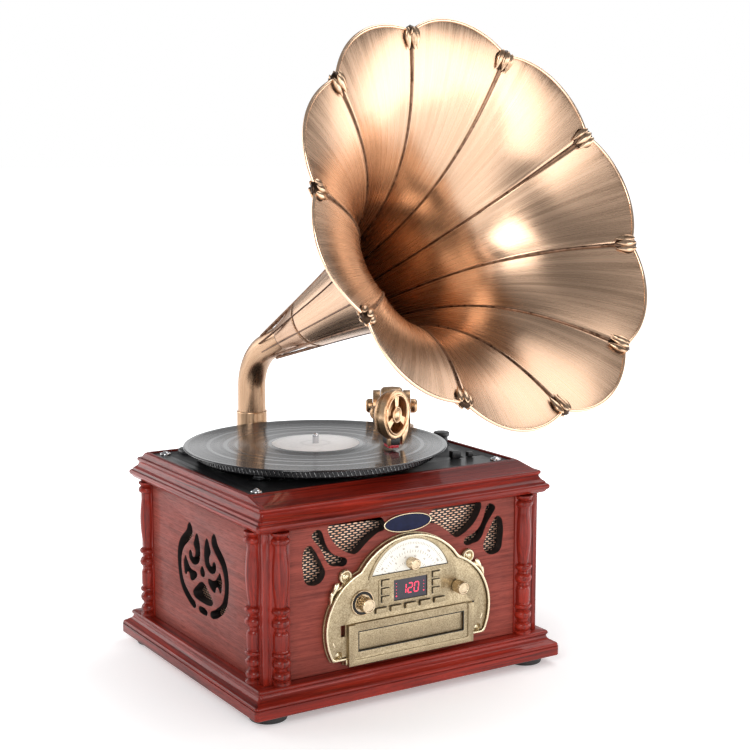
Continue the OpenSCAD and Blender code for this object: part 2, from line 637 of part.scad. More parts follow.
module faceplate() color([0.72, 0.62, 0.42]) at_home() difference() {
    union() {
        on_front(plate_y, plate_t) { plate_outline(); plate_lobes(); }
        on_front(plate_y, plate_t + field_t) plate_outline(4);
        on_front(plate_y, plate_t + 5) difference() { plate_outline(0.8); plate_outline(3); }
        on_front(plate_y, plate_t + field_t + 1.4) difference() {
            dial_shape(-3);
            dial_shape();
        }
        on_front(plate_y, plate_t + field_t + 1.2)
            translate(window_c) rounded_plate(80, 29, 2);
        on_front(plate_y, plate_t + field_t + 6) difference() {
            translate([-80, plate_base]) square([160, 44]);
            translate([0, tray_z]) rounded_plate(146, 38, 2);
        }
        on_front(plate_y, plate_t + field_t + 4.6) translate([0, tray_z]) difference() {
            rounded_plate(147, 39, 2);
            rounded_plate(tray_w + 1, tray_h + 1, 0.6);
        }
    }
    on_front(plate_y + 1, 40) {
        translate(window_c) square([window_w, window_h], center = true);
        translate([0, tray_z]) square([tray_w + 1, tray_h + 1], center = true);
        for (s = [-1, 1]) for (i = [0:2]) translate([s * button_x, side_btn_z(i)])
            square(side_btn + [0.8, 0.8], center = true);
        for (i = [-2:2]) translate([i * row_step, row_z])
            square(row_btn + [0.8, 0.8], center = true);
        translate(usb_c) square([5.2, 12.6], center = true);
        translate(jack_c) circle(1.75);
        for (c = [tune_c, volume_c, function_c]) translate(c) circle(3.05);
        for (m = [-1, 1]) for (b = lobes) translate([m * b[0], b[1]]) circle(2, $fn = 24);
    }
    on_front(field_y + 1, 20) dial_shape();
    on_front(plate_y - plate_t, 20) for (m = [-1, 1]) for (b = lobes)
        translate([m * b[0], b[1]]) circle(4.6, $fn = 24);
}

module plate_screws() color([0.5, 0.42, 0.28]) at_home()
    for (m = [-1, 1]) for (b = lobes) translate([m * b[0], plate_y - plate_t, b[1]])
        rotate([90, 0, 0]) difference() {
            union() {
                translate([0, 0, -12]) cylinder(r = 1.9, h = 12);
                rotate_extrude() polygon(concat([[0, 0], [4, 0]], arc([0, -2.4], 4.68, 31, 90, 5)));
            }
            translate([0, 0, 2.4]) cube([5, 0.9, 1.6], center = true);
            translate([0, 0, 2.4]) cube([0.9, 5, 1.6], center = true);
        }

module dial_scale() color([0.93, 0.91, 0.84]) at_home() difference() {
    on_front(field_y + 1, 0.8) dial_shape(0.2);
    on_front(field_y + 4, 20) translate(tune_c) circle(4);
}

board_y = plate_y + button_travel + 5;
module display() color([0.08, 0.02, 0.04]) at_home() {
    on_front(board_y, board_y - field_y) translate(window_c)
        square([window_w - 0.4, window_h - 0.4], center = true);
    on_front(board_y, 1.6) translate(window_c) square([108, 42], center = true);
    for (x = [-1, 1]) for (z = [-17, 17]) on_front(board_y, board_y - plate_y)
        translate([x * 48, window_c[1] + z]) circle(2);
}

// A knob on the faceplate: shaft, body, top bead, with a milled edge
module knob(c, r, h, base_r) at_home() translate([c[0], field_y, c[1]]) rotate([90, 0, 0]) {
    translate([0, 0, -18]) cylinder(r = 3, h = 20);
    translate([0, 0, 1.9]) {
        if (base_r > 0) cylinder(r = base_r, h = 1);
        difference() {
            rotate_extrude() polygon([[0, 0], [r, 0], [r, h - 3], [r - 0.8, h - 2.6],
                [r - 0.8, h - 1.8], [r, h - 1.4], [r - 0.8, h], [r - 3, h], [r - 3.6, h - 0.8],
                [0, h - 0.8]]);
            for (i = [0:17]) rotate([0, 0, i * 20]) translate([r, 0, -1])
                cylinder(r = 0.45, h = h - 3, $fn = 16);
        }
    }
}
module tuning_knob() color([0.62, 0.5, 0.32]) knob(tune_c, 6.5, 12, 0);
module volume_knob() color([0.66, 0.52, 0.34]) knob(volume_c, 8, 15, 14);
module function_knob() color([0.66, 0.52, 0.34]) knob(function_c, 7.2, 15, 0);

drive_y = front_y + panel_in + panel_t + 1;
tray_y = field_y - 3;
module cd_tray() color([0.7, 0.6, 0.4]) at_home() difference() {
    union() {
        on_front(tray_y + 3, 3) translate([0, tray_z]) rounded_plate(tray_w, tray_h, 0.6);
        translate([-64, tray_y + 3 - eps, tray_z - 7]) cube([128, tray_travel + 38, 6]);
    }
    translate([0, tray_y + 82, tray_z - 4]) cylinder(r = 60.5, h = 20, $fn = 96);
}

module cd_drive() color([0.55, 0.56, 0.58]) at_home() {
    difference() {
        translate([-70, drive_y, tray_z - 15]) cube([140, 160, 30]);
        translate([-64.6, drive_y - 5, tray_z - 7.6]) cube([129.2, 158, 16]);
    }
    for (x = [-66, 58]) for (y = [2, 148]) translate([x, drive_y + y, plinth_top])
        cube([8, 8, tray_z - 15 - plinth_top + eps]);
}

module badge() color([0.04, 0.05, 0.16]) at_home() on_front(plate_y, 2.4)
    translate([0, badge_z]) polygon([for (a = [0:5:355]) [30.5 * cos(a), 10.4 * sin(a)]]);

// One push button on the faceplate
module button(c, size) color([0.72, 0.62, 0.42]) at_home() {
    on_front(plate_y + 1.5, 11) translate(c) rounded_plate(size[0], size[1], 0.8);
    on_front(plate_y + 2.4, 2) translate(c) square(size + [3, 2.4], center = true);
}
module button_left_1() button([-button_x, side_btn_z(0)], side_btn);
module button_left_2() button([-button_x, side_btn_z(1)], side_btn);
module button_left_3() button([-button_x, side_btn_z(2)], side_btn);
module button_right_1() button([button_x, side_btn_z(0)], side_btn);
module button_right_2() button([button_x, side_btn_z(1)], side_btn);
module button_right_3() button([button_x, side_btn_z(2)], side_btn);
module button_row_1() button([-2 * row_step, row_z], row_btn);
module button_row_2() button([-row_step, row_z], row_btn);
module button_row_3() button([0, row_z], row_btn);
module button_row_4() button([row_step, row_z], row_btn);
module button_row_5() button([2 * row_step, row_z], row_btn);

module rear_panel() color([0.07, 0.07, 0.08]) at_home() difference() {
    union() {
        translate([36, back_y - panel_in, plinth_top + 18]) cube([98, 2, 58]);
        translate([41, back_y - panel_in - 30, plinth_top + 23]) cube([88, 30.5, 48]);
    }
    for (z = [48, 62]) translate([60, back_y - 12, plinth_top + z]) rotate([-90, 0, 0])
        cylinder(r = 4.1, h = 20);
    translate([100, back_y, plinth_top + 38]) cube([20, 30, 12], center = true);
}

plinth();
base_board();
feet();
front_panel();
left_panel();
right_panel();
back_panel();
corner_posts();
columns();
grille_mesh();
speakers();
lid_frame();
deck_plate();
deck_screws();
spindle_bush();
motor();
motor_pulley();
platter();
slip_mat();
record();
spindle();
adapter_45();
speed_knob();
stop_switch();
pitch_slider();
arm_base();
arm_yoke();
arm_tube();
soundbox_cup();
soundbox_ring();
cartridge();
stylus();
horn_bracket();
elbow_pipe();
throat_cone();
horn_bell();
horn_ribs();
rim_clips();
faceplate();
plate_screws();
dial_scale();
display();
tuning_knob();
volume_knob();
function_knob();
cd_tray();
cd_drive();
badge();
button_left_1();
button_left_2();
button_left_3();
button_right_1();
button_right_2();
button_right_3();
button_row_1();
button_row_2();
button_row_3();
button_row_4();
button_row_5();
rear_panel();
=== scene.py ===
import json
import math

import bmesh
import bpy
from mathutils import Matrix, Vector

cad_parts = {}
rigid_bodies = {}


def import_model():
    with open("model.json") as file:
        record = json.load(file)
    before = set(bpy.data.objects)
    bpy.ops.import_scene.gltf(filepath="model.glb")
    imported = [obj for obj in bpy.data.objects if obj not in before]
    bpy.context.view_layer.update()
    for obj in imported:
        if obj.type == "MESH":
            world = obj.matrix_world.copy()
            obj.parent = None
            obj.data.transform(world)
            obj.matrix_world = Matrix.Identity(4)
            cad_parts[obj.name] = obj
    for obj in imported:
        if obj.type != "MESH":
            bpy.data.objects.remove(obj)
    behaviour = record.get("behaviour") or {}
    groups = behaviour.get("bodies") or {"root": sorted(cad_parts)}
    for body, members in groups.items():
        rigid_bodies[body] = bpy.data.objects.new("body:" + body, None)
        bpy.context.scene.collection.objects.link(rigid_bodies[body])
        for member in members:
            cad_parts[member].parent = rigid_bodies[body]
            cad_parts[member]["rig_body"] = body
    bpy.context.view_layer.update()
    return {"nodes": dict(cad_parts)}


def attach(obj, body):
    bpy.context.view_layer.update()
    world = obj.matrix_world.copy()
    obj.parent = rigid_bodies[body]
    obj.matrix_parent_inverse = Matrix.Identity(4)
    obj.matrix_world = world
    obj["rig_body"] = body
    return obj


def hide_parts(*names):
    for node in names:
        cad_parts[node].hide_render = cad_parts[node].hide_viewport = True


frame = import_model()

# ---- The studio ----
# A camera at the object's front left, a little above it, and large soft lights round it.
# The floor is a plain pale sheet that isn't part of the object. It glows with painted light,
# faintly near the object and more further off.
scene = bpy.context.scene
scene.view_settings.view_transform = "Standard"
camera = bpy.data.objects.new("camera", bpy.data.cameras.new("camera"))
camera.data.lens = 72
camera.data.sensor_width = 36
camera.location = (-0.8956, -1.3936, 0.5824)
camera.rotation_euler = (math.radians(81.4), 0, math.radians(-32.1))
scene.collection.objects.link(camera)
scene.camera = camera


def softbox(name, place, aim, width, height, watts):
    lamp = bpy.data.lights.new(name, "AREA")
    lamp.shape = "RECTANGLE"
    lamp.size, lamp.size_y, lamp.energy = width, height, watts
    box = bpy.data.objects.new(name, lamp)
    box.location = place
    box.rotation_euler = (Vector(aim) - Vector(place)).to_track_quat("-Z", "Y").to_euler()
    scene.collection.objects.link(box)


softbox("key_light", (-1.75, -1.55, 1.5), (0, 0, 0.42), 1.0, 1.3, 26)
softbox("front_light", (0.5, -2.9, 0.8), (0, 0, 0.25), 1.8, 1.0, 20)
softbox("right_light", (2.1, -1.2, 0.3), (0, 0, 0.5), 2.6, 1.1, 22)
softbox("back_left_light", (-1.5, 2.2, 1.0), (0, 0, 0.2), 2.0, 1.4, 22)
softbox("top_light", (1.5, 0.3, 2.4), (0, 0, 0.3), 2.2, 1.6, 26)
softbox("backdrop_light", (1.6, 2.7, 0.6), (0, 0, 0.2), 2.2, 0.8, 4.5)

world = bpy.data.worlds.new("studio")
scene.world = world
world.use_nodes = True
tree = world.node_tree
backdrop = tree.nodes["Background"]
backdrop.inputs["Color"].default_value = (1, 1, 1, 1)
room = tree.nodes.new("ShaderNodeBackground")
room.inputs["Color"].default_value = (0.97, 0.98, 1, 1)
room.inputs["Strength"].default_value = 0.3
seen = tree.nodes.new("ShaderNodeLightPath")
choice = tree.nodes.new("ShaderNodeMixShader")
tree.links.new(seen.outputs["Is Camera Ray"], choice.inputs["Fac"])
tree.links.new(room.outputs["Background"], choice.inputs[1])
tree.links.new(backdrop.outputs["Background"], choice.inputs[2])
tree.links.new(choice.outputs["Shader"], tree.nodes["World Output"].inputs["Surface"])


def finish(name, colour, metal=0.0, rough=0.4, **sockets):
    """A new material on the plain shader; sockets names its other inputs, as coat_weight=0.5."""
    stuff = bpy.data.materials.new(name)
    stuff.use_nodes = True
    inputs = stuff.node_tree.nodes["Principled BSDF"].inputs
    inputs["Base Color"].default_value = (*colour, 1)
    inputs["Metallic"].default_value = metal
    inputs["Roughness"].default_value = rough
    for key, value in sockets.items():
        inputs[key.replace("_", " ").title().replace("Ior", "IOR")].default_value = value
    return stuff


def node(stuff, kind, inputs=(), **settings):
    """Adds a shader node. An input given as a socket is linked, and any other is its value."""
    made = stuff.node_tree.nodes.new("ShaderNode" + kind)
    for key, value in settings.items():
        setattr(made, key, value)
    for key, value in dict(inputs).items():
        if isinstance(value, bpy.types.NodeSocket):
            stuff.node_tree.links.new(value, made.inputs[key])
        else:
            made.inputs[key].default_value = value
    return made


def feed(stuff, socket, output):
    """Links an output to one of the shader's inputs."""
    shader = stuff.node_tree.nodes["Principled BSDF"]
    stuff.node_tree.links.new(output, shader.inputs[socket])


def spot(stuff, scale=(1, 1, 1), angles=(0, 0, 0), place=(0, 0, 0)):
    """The place on the object in metres, scaled, turned and moved."""
    where = node(stuff, "TexCoord").outputs["Object"]
    return node(stuff, "Mapping", {"Vector": where, "Scale": scale, "Rotation": angles,
                                   "Location": place}).outputs["Vector"]


def cloud(stuff, where, scale=1.0, detail=3.0, rough=0.55, twist=0.0):
    return node(stuff, "TexNoise", {"Vector": where, "Scale": scale, "Detail": detail,
                                    "Roughness": rough, "Distortion": twist}).outputs["Fac"]


def shades(stuff, value, *stops):
    """Colours along a value, as (position, colour) or (position, grey) stops."""
    ramp = node(stuff, "ValToRGB", {"Fac": value})
    band = ramp.color_ramp.elements
    band[0].position, band[1].position = stops[0][0], stops[-1][0]
    for position, _ in stops[1:-1]:
        band.new(position)
    for element, (_, colour) in zip(band, stops):
        element.color = (*colour, 1) if isinstance(colour, tuple) else (colour,) * 3 + (1,)
    return ramp.outputs["Color"]


def mottle(stuff, socket, low, high, scale, detail=3.0):
    """Feeds one of the shader's inputs in soft patches, between two stops as in shades."""
    feed(stuff, socket, shades(stuff, cloud(stuff, spot(stuff), scale, detail), low, high))


floor_mesh = bpy.data.meshes.new("floor")
sheet = bmesh.new()
bmesh.ops.create_grid(sheet, x_segments=2, y_segments=2, size=40)
sheet.to_mesh(floor_mesh)
sheet.free()
floor = bpy.data.objects.new("floor", floor_mesh)
scene.collection.objects.link(floor)
pale = finish("pale_floor", (0.93, 0.93, 0.93), rough=0.7, emission_strength=1.0)
mottle(pale, "Roughness", (0, 0.6), (1, 0.8), 3)
# Painted light: the floor's glow grows with its distance from the object.
away = node(pale, "VectorMath", {0: spot(pale)}, operation="LENGTH").outputs["Value"]
feed(pale, "Emission Color", shades(pale, away, (0.2, 0.28), (0.75, 0.9)))
floor_mesh.materials.append(pale)

# ---- Plinth ----
# A hardwood moulding, mitred at its four corners and glued under the cabinet: a flat band,
# a bead, a deep cove and a small bead under the panels. Stained mahogany under clear lacquer.
home = Matrix.Translation((-36.5, 63, 0))


def piece(name, bm, body, stuff, stands_for=(), place=Matrix(), sharp=32, tidy=True):
    """Puts a mesh drawn in millimetres into the cabinet, on its body, with its finish."""
    if tidy:
        bmesh.ops.remove_doubles(bm, verts=bm.verts, dist=0.002)
        bmesh.ops.recalc_face_normals(bm, faces=bm.faces)
    bm.transform(Matrix.Scale(0.001, 4) @ home @ place)
    mesh = bpy.data.meshes.new(name)
    bm.to_mesh(mesh)
    bm.free()
    mesh.shade_smooth()
    mesh.set_sharp_from_angle(angle=math.radians(sharp))
    mesh.materials.append(stuff)
    made = bpy.data.objects.new(name, mesh)
    scene.collection.objects.link(made)
    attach(made, body)
    if stands_for:
        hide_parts(*stands_for)
    return made


def blended(stuff, kind, amount, a, b):
    mix = node(stuff, "Mix", {"Factor": amount}, data_type="RGBA", blend_type=kind)
    for socket, value in ((mix.inputs[6], a), (mix.inputs[7], b)):
        if isinstance(value, bpy.types.NodeSocket):
            stuff.node_tree.links.new(value, socket)
        else:
            socket.default_value = (*value, 1)
    return mix.outputs[2]


def relief(stuff, height, depth, strength):
    """Raises the surface by height, depth metres deep."""
    bump = node(stuff, "Bump", {"Height": height, "Distance": depth, "Strength": strength})
    feed(stuff, "Normal", bump.outputs["Normal"])


def mahogany(name, along, dark, light, gloss, grain=0.5):
    """Stained, lacquered mahogany whose grain runs along one axis."""
    stuff = finish(name, light, rough=0.5, specular_ior_level=0.15, coat_weight=gloss,
                   coat_roughness=0.05, coat_ior=1.4)
    stretch, fine = [170.0] * 3, [1500.0] * 3
    stretch[along], fine[along] = 5.0, 70.0
    bands = cloud(stuff, spot(stuff, stretch), 1.0, 6, 0.65, 1.2)
    pores = cloud(stuff, spot(stuff, fine), 1.0, 3, 0.7)
    patches = cloud(stuff, spot(stuff), 7.0, 3)
    wood = shades(stuff, bands, (0.3, dark), (0.62, light))
    wood = blended(stuff, "MULTIPLY", grain, wood, shades(stuff, pores, (0.32, 0.3), (0.5, 1.0)))
    feed(stuff, "Base Color", blended(stuff, "MULTIPLY", 0.6, wood,
                                      shades(stuff, patches, (0.3, 0.42), (0.7, 1.0))))
    feed(stuff, "Roughness", shades(stuff, pores, (0.3, 0.6), (0.6, 0.4)))
    relief(stuff, pores, 0.0001, 0.25)
    return stuff


def arc(centre, radius, start, end, steps=9):
    """Points round part of a circle, between two angles in degrees."""
    turns = [math.radians(start + (end - start) * i / steps) for i in range(steps + 1)]
    return [(centre[0] + radius * math.cos(t), centre[1] + radius * math.sin(t)) for t in turns]


body_low, body_high = (-175, -153), (175, 153)
panel_foot, panel_top = 38, 198


def mitred(line):
    """Carries a closed outline round four eased corners. Each of its points is a low and a
    high corner in plan, how far it stands out from them, and its height. The two runs along Y
    take the piece's second finish."""
    radius, steps = 4.0, 6
    bm = bmesh.new()
    stops = [bm.verts.new((1000 + i, 0, 0)) for i in range(len(line))]
    for a, b in zip(stops, stops[1:] + stops[:1]):
        bm.edges.new((a, b))
    bmesh.ops.spin(bm, geom=bm.verts[:] + bm.edges[:], cent=(0, 0, 0), axis=(0, 0, 1),
                   angle=math.tau, steps=4 * (steps + 1), use_merge=True)
    for v in bm.verts:
        low, high, out, up = line[round(v.co.xy.length) - 1000]
        stop = round(math.atan2(v.co.y, v.co.x) / math.tau * 4 * (steps + 1)) % (4 * (steps + 1))
        side, share = divmod(stop, steps + 1)
        way = (side + share / steps) * math.pi / 2
        inset = radius - out
        x = high[0] - inset if side in (0, 3) else low[0] + inset
        y = high[1] - inset if side in (0, 1) else low[1] + inset
        v.co = (x + radius * math.cos(way), y + radius * math.sin(way), up)
    for face in bm.faces:
        x, y, _ = face.calc_center_median()
        face.material_index = int(abs(x) - body_high[0] > abs(y) - body_high[1])
    return bm


grain_x, grain_y, grain_z = (mahogany("mahogany_" + "xyz"[i], i, (0.075, 0.003, 0.002),
                                      (0.36, 0.022, 0.009), 0.5) for i in range(3))
plinth_line = ([(19.4, 10), (20, 10.6), (20, 20.5)] + arc((17, 22), 2.6, -40, 90)
               + arc((17, 33), 7, -108, -180, 10) + arc((9, 35.5), 2.5, -60, 90)
               + [(0, panel_foot), (-10, panel_foot), (-10, 10)])
piece("plinth_moulding", mitred([(body_low, body_high, *p) for p in plinth_line]), "cabinet",
      grain_x, ["plinth"]).data.materials.append(grain_y)


# ---- Feet ----
# Four round rubber feet, moulded black, each with a dished middle for its screw.
def turned(line, angle=math.tau, steps=48, closed=False):
    """Spins an outline of (radius, height) about the upright axis."""
    bm = bmesh.new()
    stops = [bm.verts.new((radius, 0, height)) for radius, height in line]
    for a, b in zip(stops, stops[1:] + (stops[:1] if closed else [])):
        bm.edges.new((a, b))
    full = angle == math.tau
    bmesh.ops.spin(bm, geom=bm.verts[:] + bm.edges[:], cent=(0, 0, 0), axis=(0, 0, 1),
                   angle=angle, steps=steps, use_merge=full)
    bmesh.ops.remove_doubles(bm, verts=bm.verts, dist=0.002)
    if not full:
        bmesh.ops.holes_fill(bm, edges=[e for e in bm.edges if e.is_boundary])
    return bm


def gathered(parts):
    """Joins several meshes, each with its place, into one."""
    whole = bmesh.new()
    for bm, place in parts:
        bm.transform(place)
        loose = bpy.data.meshes.new("part")
        bm.to_mesh(loose)
        bm.free()
        whole.from_mesh(loose)
        bpy.data.meshes.remove(loose)
    return whole


def at(x=0, y=0, z=0):
    return Matrix.Translation((x, y, z))


def turn(degrees, axis="Z"):
    return Matrix.Rotation(math.radians(degrees), 4, axis)


rubber = finish("black_rubber", (0.02, 0.02, 0.02), rough=0.6)
relief(rubber, cloud(rubber, spot(rubber), 900, 2), 0.0001, 0.4)
foot_line = ([(0, 6), (6, 6), (6, 0), (17.4, 0)] + arc((18, 2), 2, -70, 0, 4)
             + [(20, 10), (0, 10)])
piece("rubber_feet", gathered([(turned(foot_line), at(x * 166, y * 144))
                               for x in (-1, 1) for y in (-1, 1)]),
      "cabinet", rubber, ["feet"])

# ---- Corner posts and half columns ----
# Square posts with a fine groove beside each corner, and eight turned half columns glued to
# them: urn, vase and ring shapes off a lathe, split down the middle.
def eased_copy(of, width, stuff, name, steps=2):
    """A copy of a CAD node with its flat faces joined and its edges rounded over."""
    source = frame["nodes"][of]
    bm = bmesh.new()
    bm.from_mesh(source.data)
    bmesh.ops.remove_doubles(bm, verts=bm.verts, dist=2e-6)
    bmesh.ops.dissolve_limit(bm, angle_limit=math.radians(0.8), verts=bm.verts, edges=bm.edges)
    edges = [e for e in bm.edges if len(e.link_faces) == 2
             and e.calc_face_angle(0) > math.radians(30)]
    bmesh.ops.bevel(bm, geom=edges, offset=width * 0.001, offset_type="OFFSET", segments=steps,
                    profile=0.5, affect="EDGES", clamp_overlap=True, material=-1)
    bm.transform((Matrix.Scale(0.001, 4) @ home).inverted())
    return piece(name, bm, source["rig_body"], stuff, [of], tidy=False)


eased_copy("corner_posts", 0.35, grain_z, "square_posts")
column_line = ([(0, 0), (10.5, 0), (10.5, 2.4), (9.9, 3)] + arc((5.2, 8.8), 5, -60, 60)
               + [(6.4, 14)] + arc((4.8, 22.2), 5.6, -62, 62) + [(6.6, 28.5)]
               + arc((8, 32), 2.5, -80, 80)
               + [(8, 36), (8.8, 38), (8.8, 52), (8, 55), (6.6, 56.5)]
               + arc((4.4, 65), 6, -66, 66) + [(6.4, 72)] + arc((7.6, 78), 2.9, -80, 80)
               + [(6.2, 82), (6.6, 85)]
               + [(6.6 + 2.6 * math.sin(math.radians(i * 9)), 85 + i * 3) for i in range(1, 20)]
               + arc((6.6, 151), 3.9, -75, 75) + [(8, 156), (10, 158), (10.2, 160), (0, 160)])
column_spots = ([(x * 155.5, -153, 180) for x in (-1, 1)]
                + [(x * 175, y * 133.5, 90 - 180 * (x > 0)) for x in (-1, 1) for y in (-1, 1)])
piece("half_columns", gathered([(turned(column_line, math.pi, 22), at(x, y, panel_foot) @ turn(way))
                                for x, y, way in column_spots]),
      "cabinet", grain_z, ["columns"])

# ---- Fretted panels ----
# Four veneered panels let in between the posts. The front and the two sides are sawn through
# with leaf and scroll shapes whose edges are rounded and stained dark.
veneer_x, veneer_y = (mahogany("veneer_" + "xy"[i], i, (0.17, 0.028, 0.020),
                               (0.34, 0.066, 0.046), 0.1, 0.6) for i in range(2))
stain = finish("dark_stain", (0.008, 0.005, 0.005), rough=0.55)
relief(stain, cloud(stain, spot(stain), 700), 0.0001, 0.4)


def sawn(name, outline, openings, thick):
    """A flat board of a given outline with smooth openings, its edges eased. The openings'
    edges take the piece's second finish."""
    ease = 0.5
    line = bpy.data.curves.new(name, "CURVE")
    line.dimensions, line.fill_mode, line.resolution_u = "2D", "BOTH", 4
    for i, points in enumerate([outline] + openings):
        area = sum(a[0] * b[1] - a[1] * b[0] for a, b in zip(points, points[1:] + points[:1]))
        points = points if (area > 0) == (i == 0) else points[::-1]
        spline = line.splines.new("BEZIER" if i else "POLY")
        if i:
            spline.bezier_points.add(len(points) - 1)
            for dot, p in zip(spline.bezier_points, points):
                dot.co = (*p, 0)
                dot.handle_left_type = dot.handle_right_type = "AUTO"
        else:
            spline.points.add(len(points) - 1)
            for dot, p in zip(spline.points, points):
                dot.co = (*p, 0, 1)
        spline.use_cyclic_u = True
    line.extrude, line.bevel_depth, line.offset = thick / 2 - ease, ease, -ease
    line.bevel_resolution = 2
    holder = bpy.data.objects.new(name, line)
    scene.collection.objects.link(holder)
    shape = bpy.data.meshes.new_from_object(
        holder.evaluated_get(bpy.context.evaluated_depsgraph_get()))
    bpy.data.objects.remove(holder)
    bm = bmesh.new()
    bm.from_mesh(shape)
    bpy.data.meshes.remove(shape)
    low_x, low_y = map(min, zip(*outline))
    high_x, high_y = map(max, zip(*outline))
    for face in bm.faces:
        x, y, _ = face.calc_center_median()
        inside = low_x + 1 < x < high_x - 1 and low_y + 1 < y < high_y - 1
        face.material_index = int(inside and abs(face.normal.z) < 0.5)
    return bm


def both_sides(shape):
    """A shape and its mirror image."""
    return [shape, [(-x, z) for x, z in shape]]


big_fret = [(28, 184), (33, 196), (97, 196), (98, 193), (96, 186), (90, 176.5), (81, 168.5),
            (72, 163.5), (65, 161.5), (60, 164), (53, 170), (45, 176), (36, 181)]
bone_fret = [(105, 190), (109, 193.5), (114, 192), (117, 188), (113, 181), (109, 176), (105, 170),
             (103, 166), (99, 157.5), (94, 153), (86, 151.5), (79, 150.5), (75, 153.5), (76, 158),
             (83, 161), (90, 164), (96.5, 170), (101, 178.5), (103.5, 186)]
drop_fret = [(120, 178), (125, 175.5), (127.5, 170), (127.5, 150), (124.5, 139), (118, 135.5),
             (111, 135.5), (105, 139), (101.5, 146), (104, 154), (109, 163.5), (114.5, 173)]
behind_plate = [(-70, 50), (70, 50), (70, 118), (48, 147), (-48, 147), (-70, 118)]
panel_thick = 12


def panel_outline(half):
    return [(-half, panel_foot), (half, panel_foot), (half, panel_top), (-half, panel_top)]


front_board = sawn("front_board", panel_outline(144),
                   [behind_plate] + sum(map(both_sides, (big_fret, bone_fret, drop_fret)), []),
                   panel_thick)
piece("front_fretwork", front_board, "cabinet", veneer_x, ["front_panel"],
      at(0, -145.5) @ turn(90, "X")).data.materials.append(stain)

crescent = [(30, 173), (35, 170), (39, 163), (48, 156), (57, 148), (62, 139), (64, 130), (64, 120),
            (62, 109), (59, 100), (52, 91), (42, 84), (29, 78), (21, 77), (18, 80), (20, 84),
            (27, 87), (36, 92), (45, 98), (51, 106), (54, 115), (54, 126), (51, 135), (46, 142),
            (38, 148), (29, 155), (24, 161), (24, 167), (27, 171)]
hook = [(12.5, 164), (16.5, 161), (19, 156), (21.5, 151), (20.5, 148), (18, 145), (17.5, 140),
        (20, 136), (23.5, 135.5), (26, 139), (28.5, 141.5), (32, 141), (34, 137), (33, 132),
        (27, 128), (21, 127), (14, 129), (8.5, 132.5), (5.5, 139), (5, 148), (7, 157), (9.5, 162)]
leaf = [(43, 132.5), (46, 129), (48, 124), (47, 117), (45.5, 111.5), (42.5, 110.5), (39, 114.5),
        (35, 115), (32.5, 111.5), (31, 108), (26.5, 107.5), (18.5, 111.5), (14, 115.5),
        (14, 118.5), (17, 120), (23, 120), (30, 121), (36.5, 126), (40.5, 130.5)]
drop = [(0, 130), (4, 127), (6, 123), (4.5, 119.5), (0, 118), (-4.5, 119.5), (-6, 123), (-4, 127)]
bell = [(0, 112), (6, 110.5), (15, 104.5), (23, 98), (25, 95), (22, 91), (14, 89), (0, 88.5),
        (-14, 89), (-22, 91), (-25, 95), (-23, 98), (-15, 104.5), (-6, 110.5)]
foot = [(0, 83.5), (8, 82.5), (11, 80.5), (9, 76.5), (3, 75.5), (-3, 75.5), (-9, 76.5),
        (-11, 80.5), (-8, 82.5)]
tulip = sum(map(both_sides, (crescent, hook, leaf)), []) + [drop, bell, foot]
for side, x in (("left", -1), ("right", 1)):
    board = sawn(side + "_board", panel_outline(122),
                 [[(h - 8, z) for h, z in shape] for shape in tulip], panel_thick)
    piece(side + "_fretwork", board, "cabinet", veneer_y, [side + "_panel"],
          at(x * 167.5) @ turn(90) @ turn(90, "X")).data.materials.append(stain)
eased_copy("back_panel", 0.4, veneer_x, "back_board")


def dress(stuff, *names):
    """Gives CAD nodes that stay in sight their finish."""
    for name in names:
        for slot in frame["nodes"][name].material_slots:
            slot.material = stuff


fibre = finish("fibre_board", (0.05, 0.035, 0.025), rough=0.85)
specks = cloud(fibre, spot(fibre), 500, 3)
feed(fibre, "Base Color", shades(fibre, specks, (0.35, (0.03, 0.02, 0.015)),
                                 (0.7, (0.07, 0.05, 0.035))))
relief(fibre, specks, 0.0003, 0.5)
dress(fibre, "base_board")

# ---- Grille cloth and speakers ----
# Flat woven wire glued behind the frets: short bright copper floats in staggered rows, with black
# painted shade in the gaps between them where the dark inside shows through. Two paper-cone
# speakers stand behind the side panels.
woven = finish("woven_front", (0.5, 0.3, 0.2), rough=0.4)
slant = spot(woven, (1, 1, 1), (math.radians(90), math.radians(62), 0))
weave = node(woven, "TexBrick", {"Vector": slant, "Scale": 1.0, "Mortar Size": 0.0008,
                                 "Mortar Smooth": 0.5, "Brick Width": 0.0036,
                                 "Row Height": 0.0026, "Color1": (0.75, 0.40, 0.26, 1),
                                 "Color2": (1.0, 0.68, 0.5, 1), "Mortar": (0, 0, 0, 1)})
gap = weave.outputs["Fac"]
# The gaps between the floats are painted black: painted shade for the dark inside seen through the
# weave.
feed(woven, "Base Color", blended(woven, "MIX", gap, weave.outputs["Color"],
                                  (0.004, 0.003, 0.003)))
feed(woven, "Metallic", shades(woven, gap, (0.2, 0.8), (0.8, 0.0)))
relief(woven, shades(woven, gap, (0, 1.0), (1, 0.0)), 0.0006, 1.0)
dress(woven, "grille_mesh")
speaker_paper = finish("speaker_paper", (0.012, 0.012, 0.013), rough=0.85)
relief(speaker_paper, cloud(speaker_paper, spot(speaker_paper), 700, 3), 0.0003, 0.5)
dress(speaker_paper, "speakers")

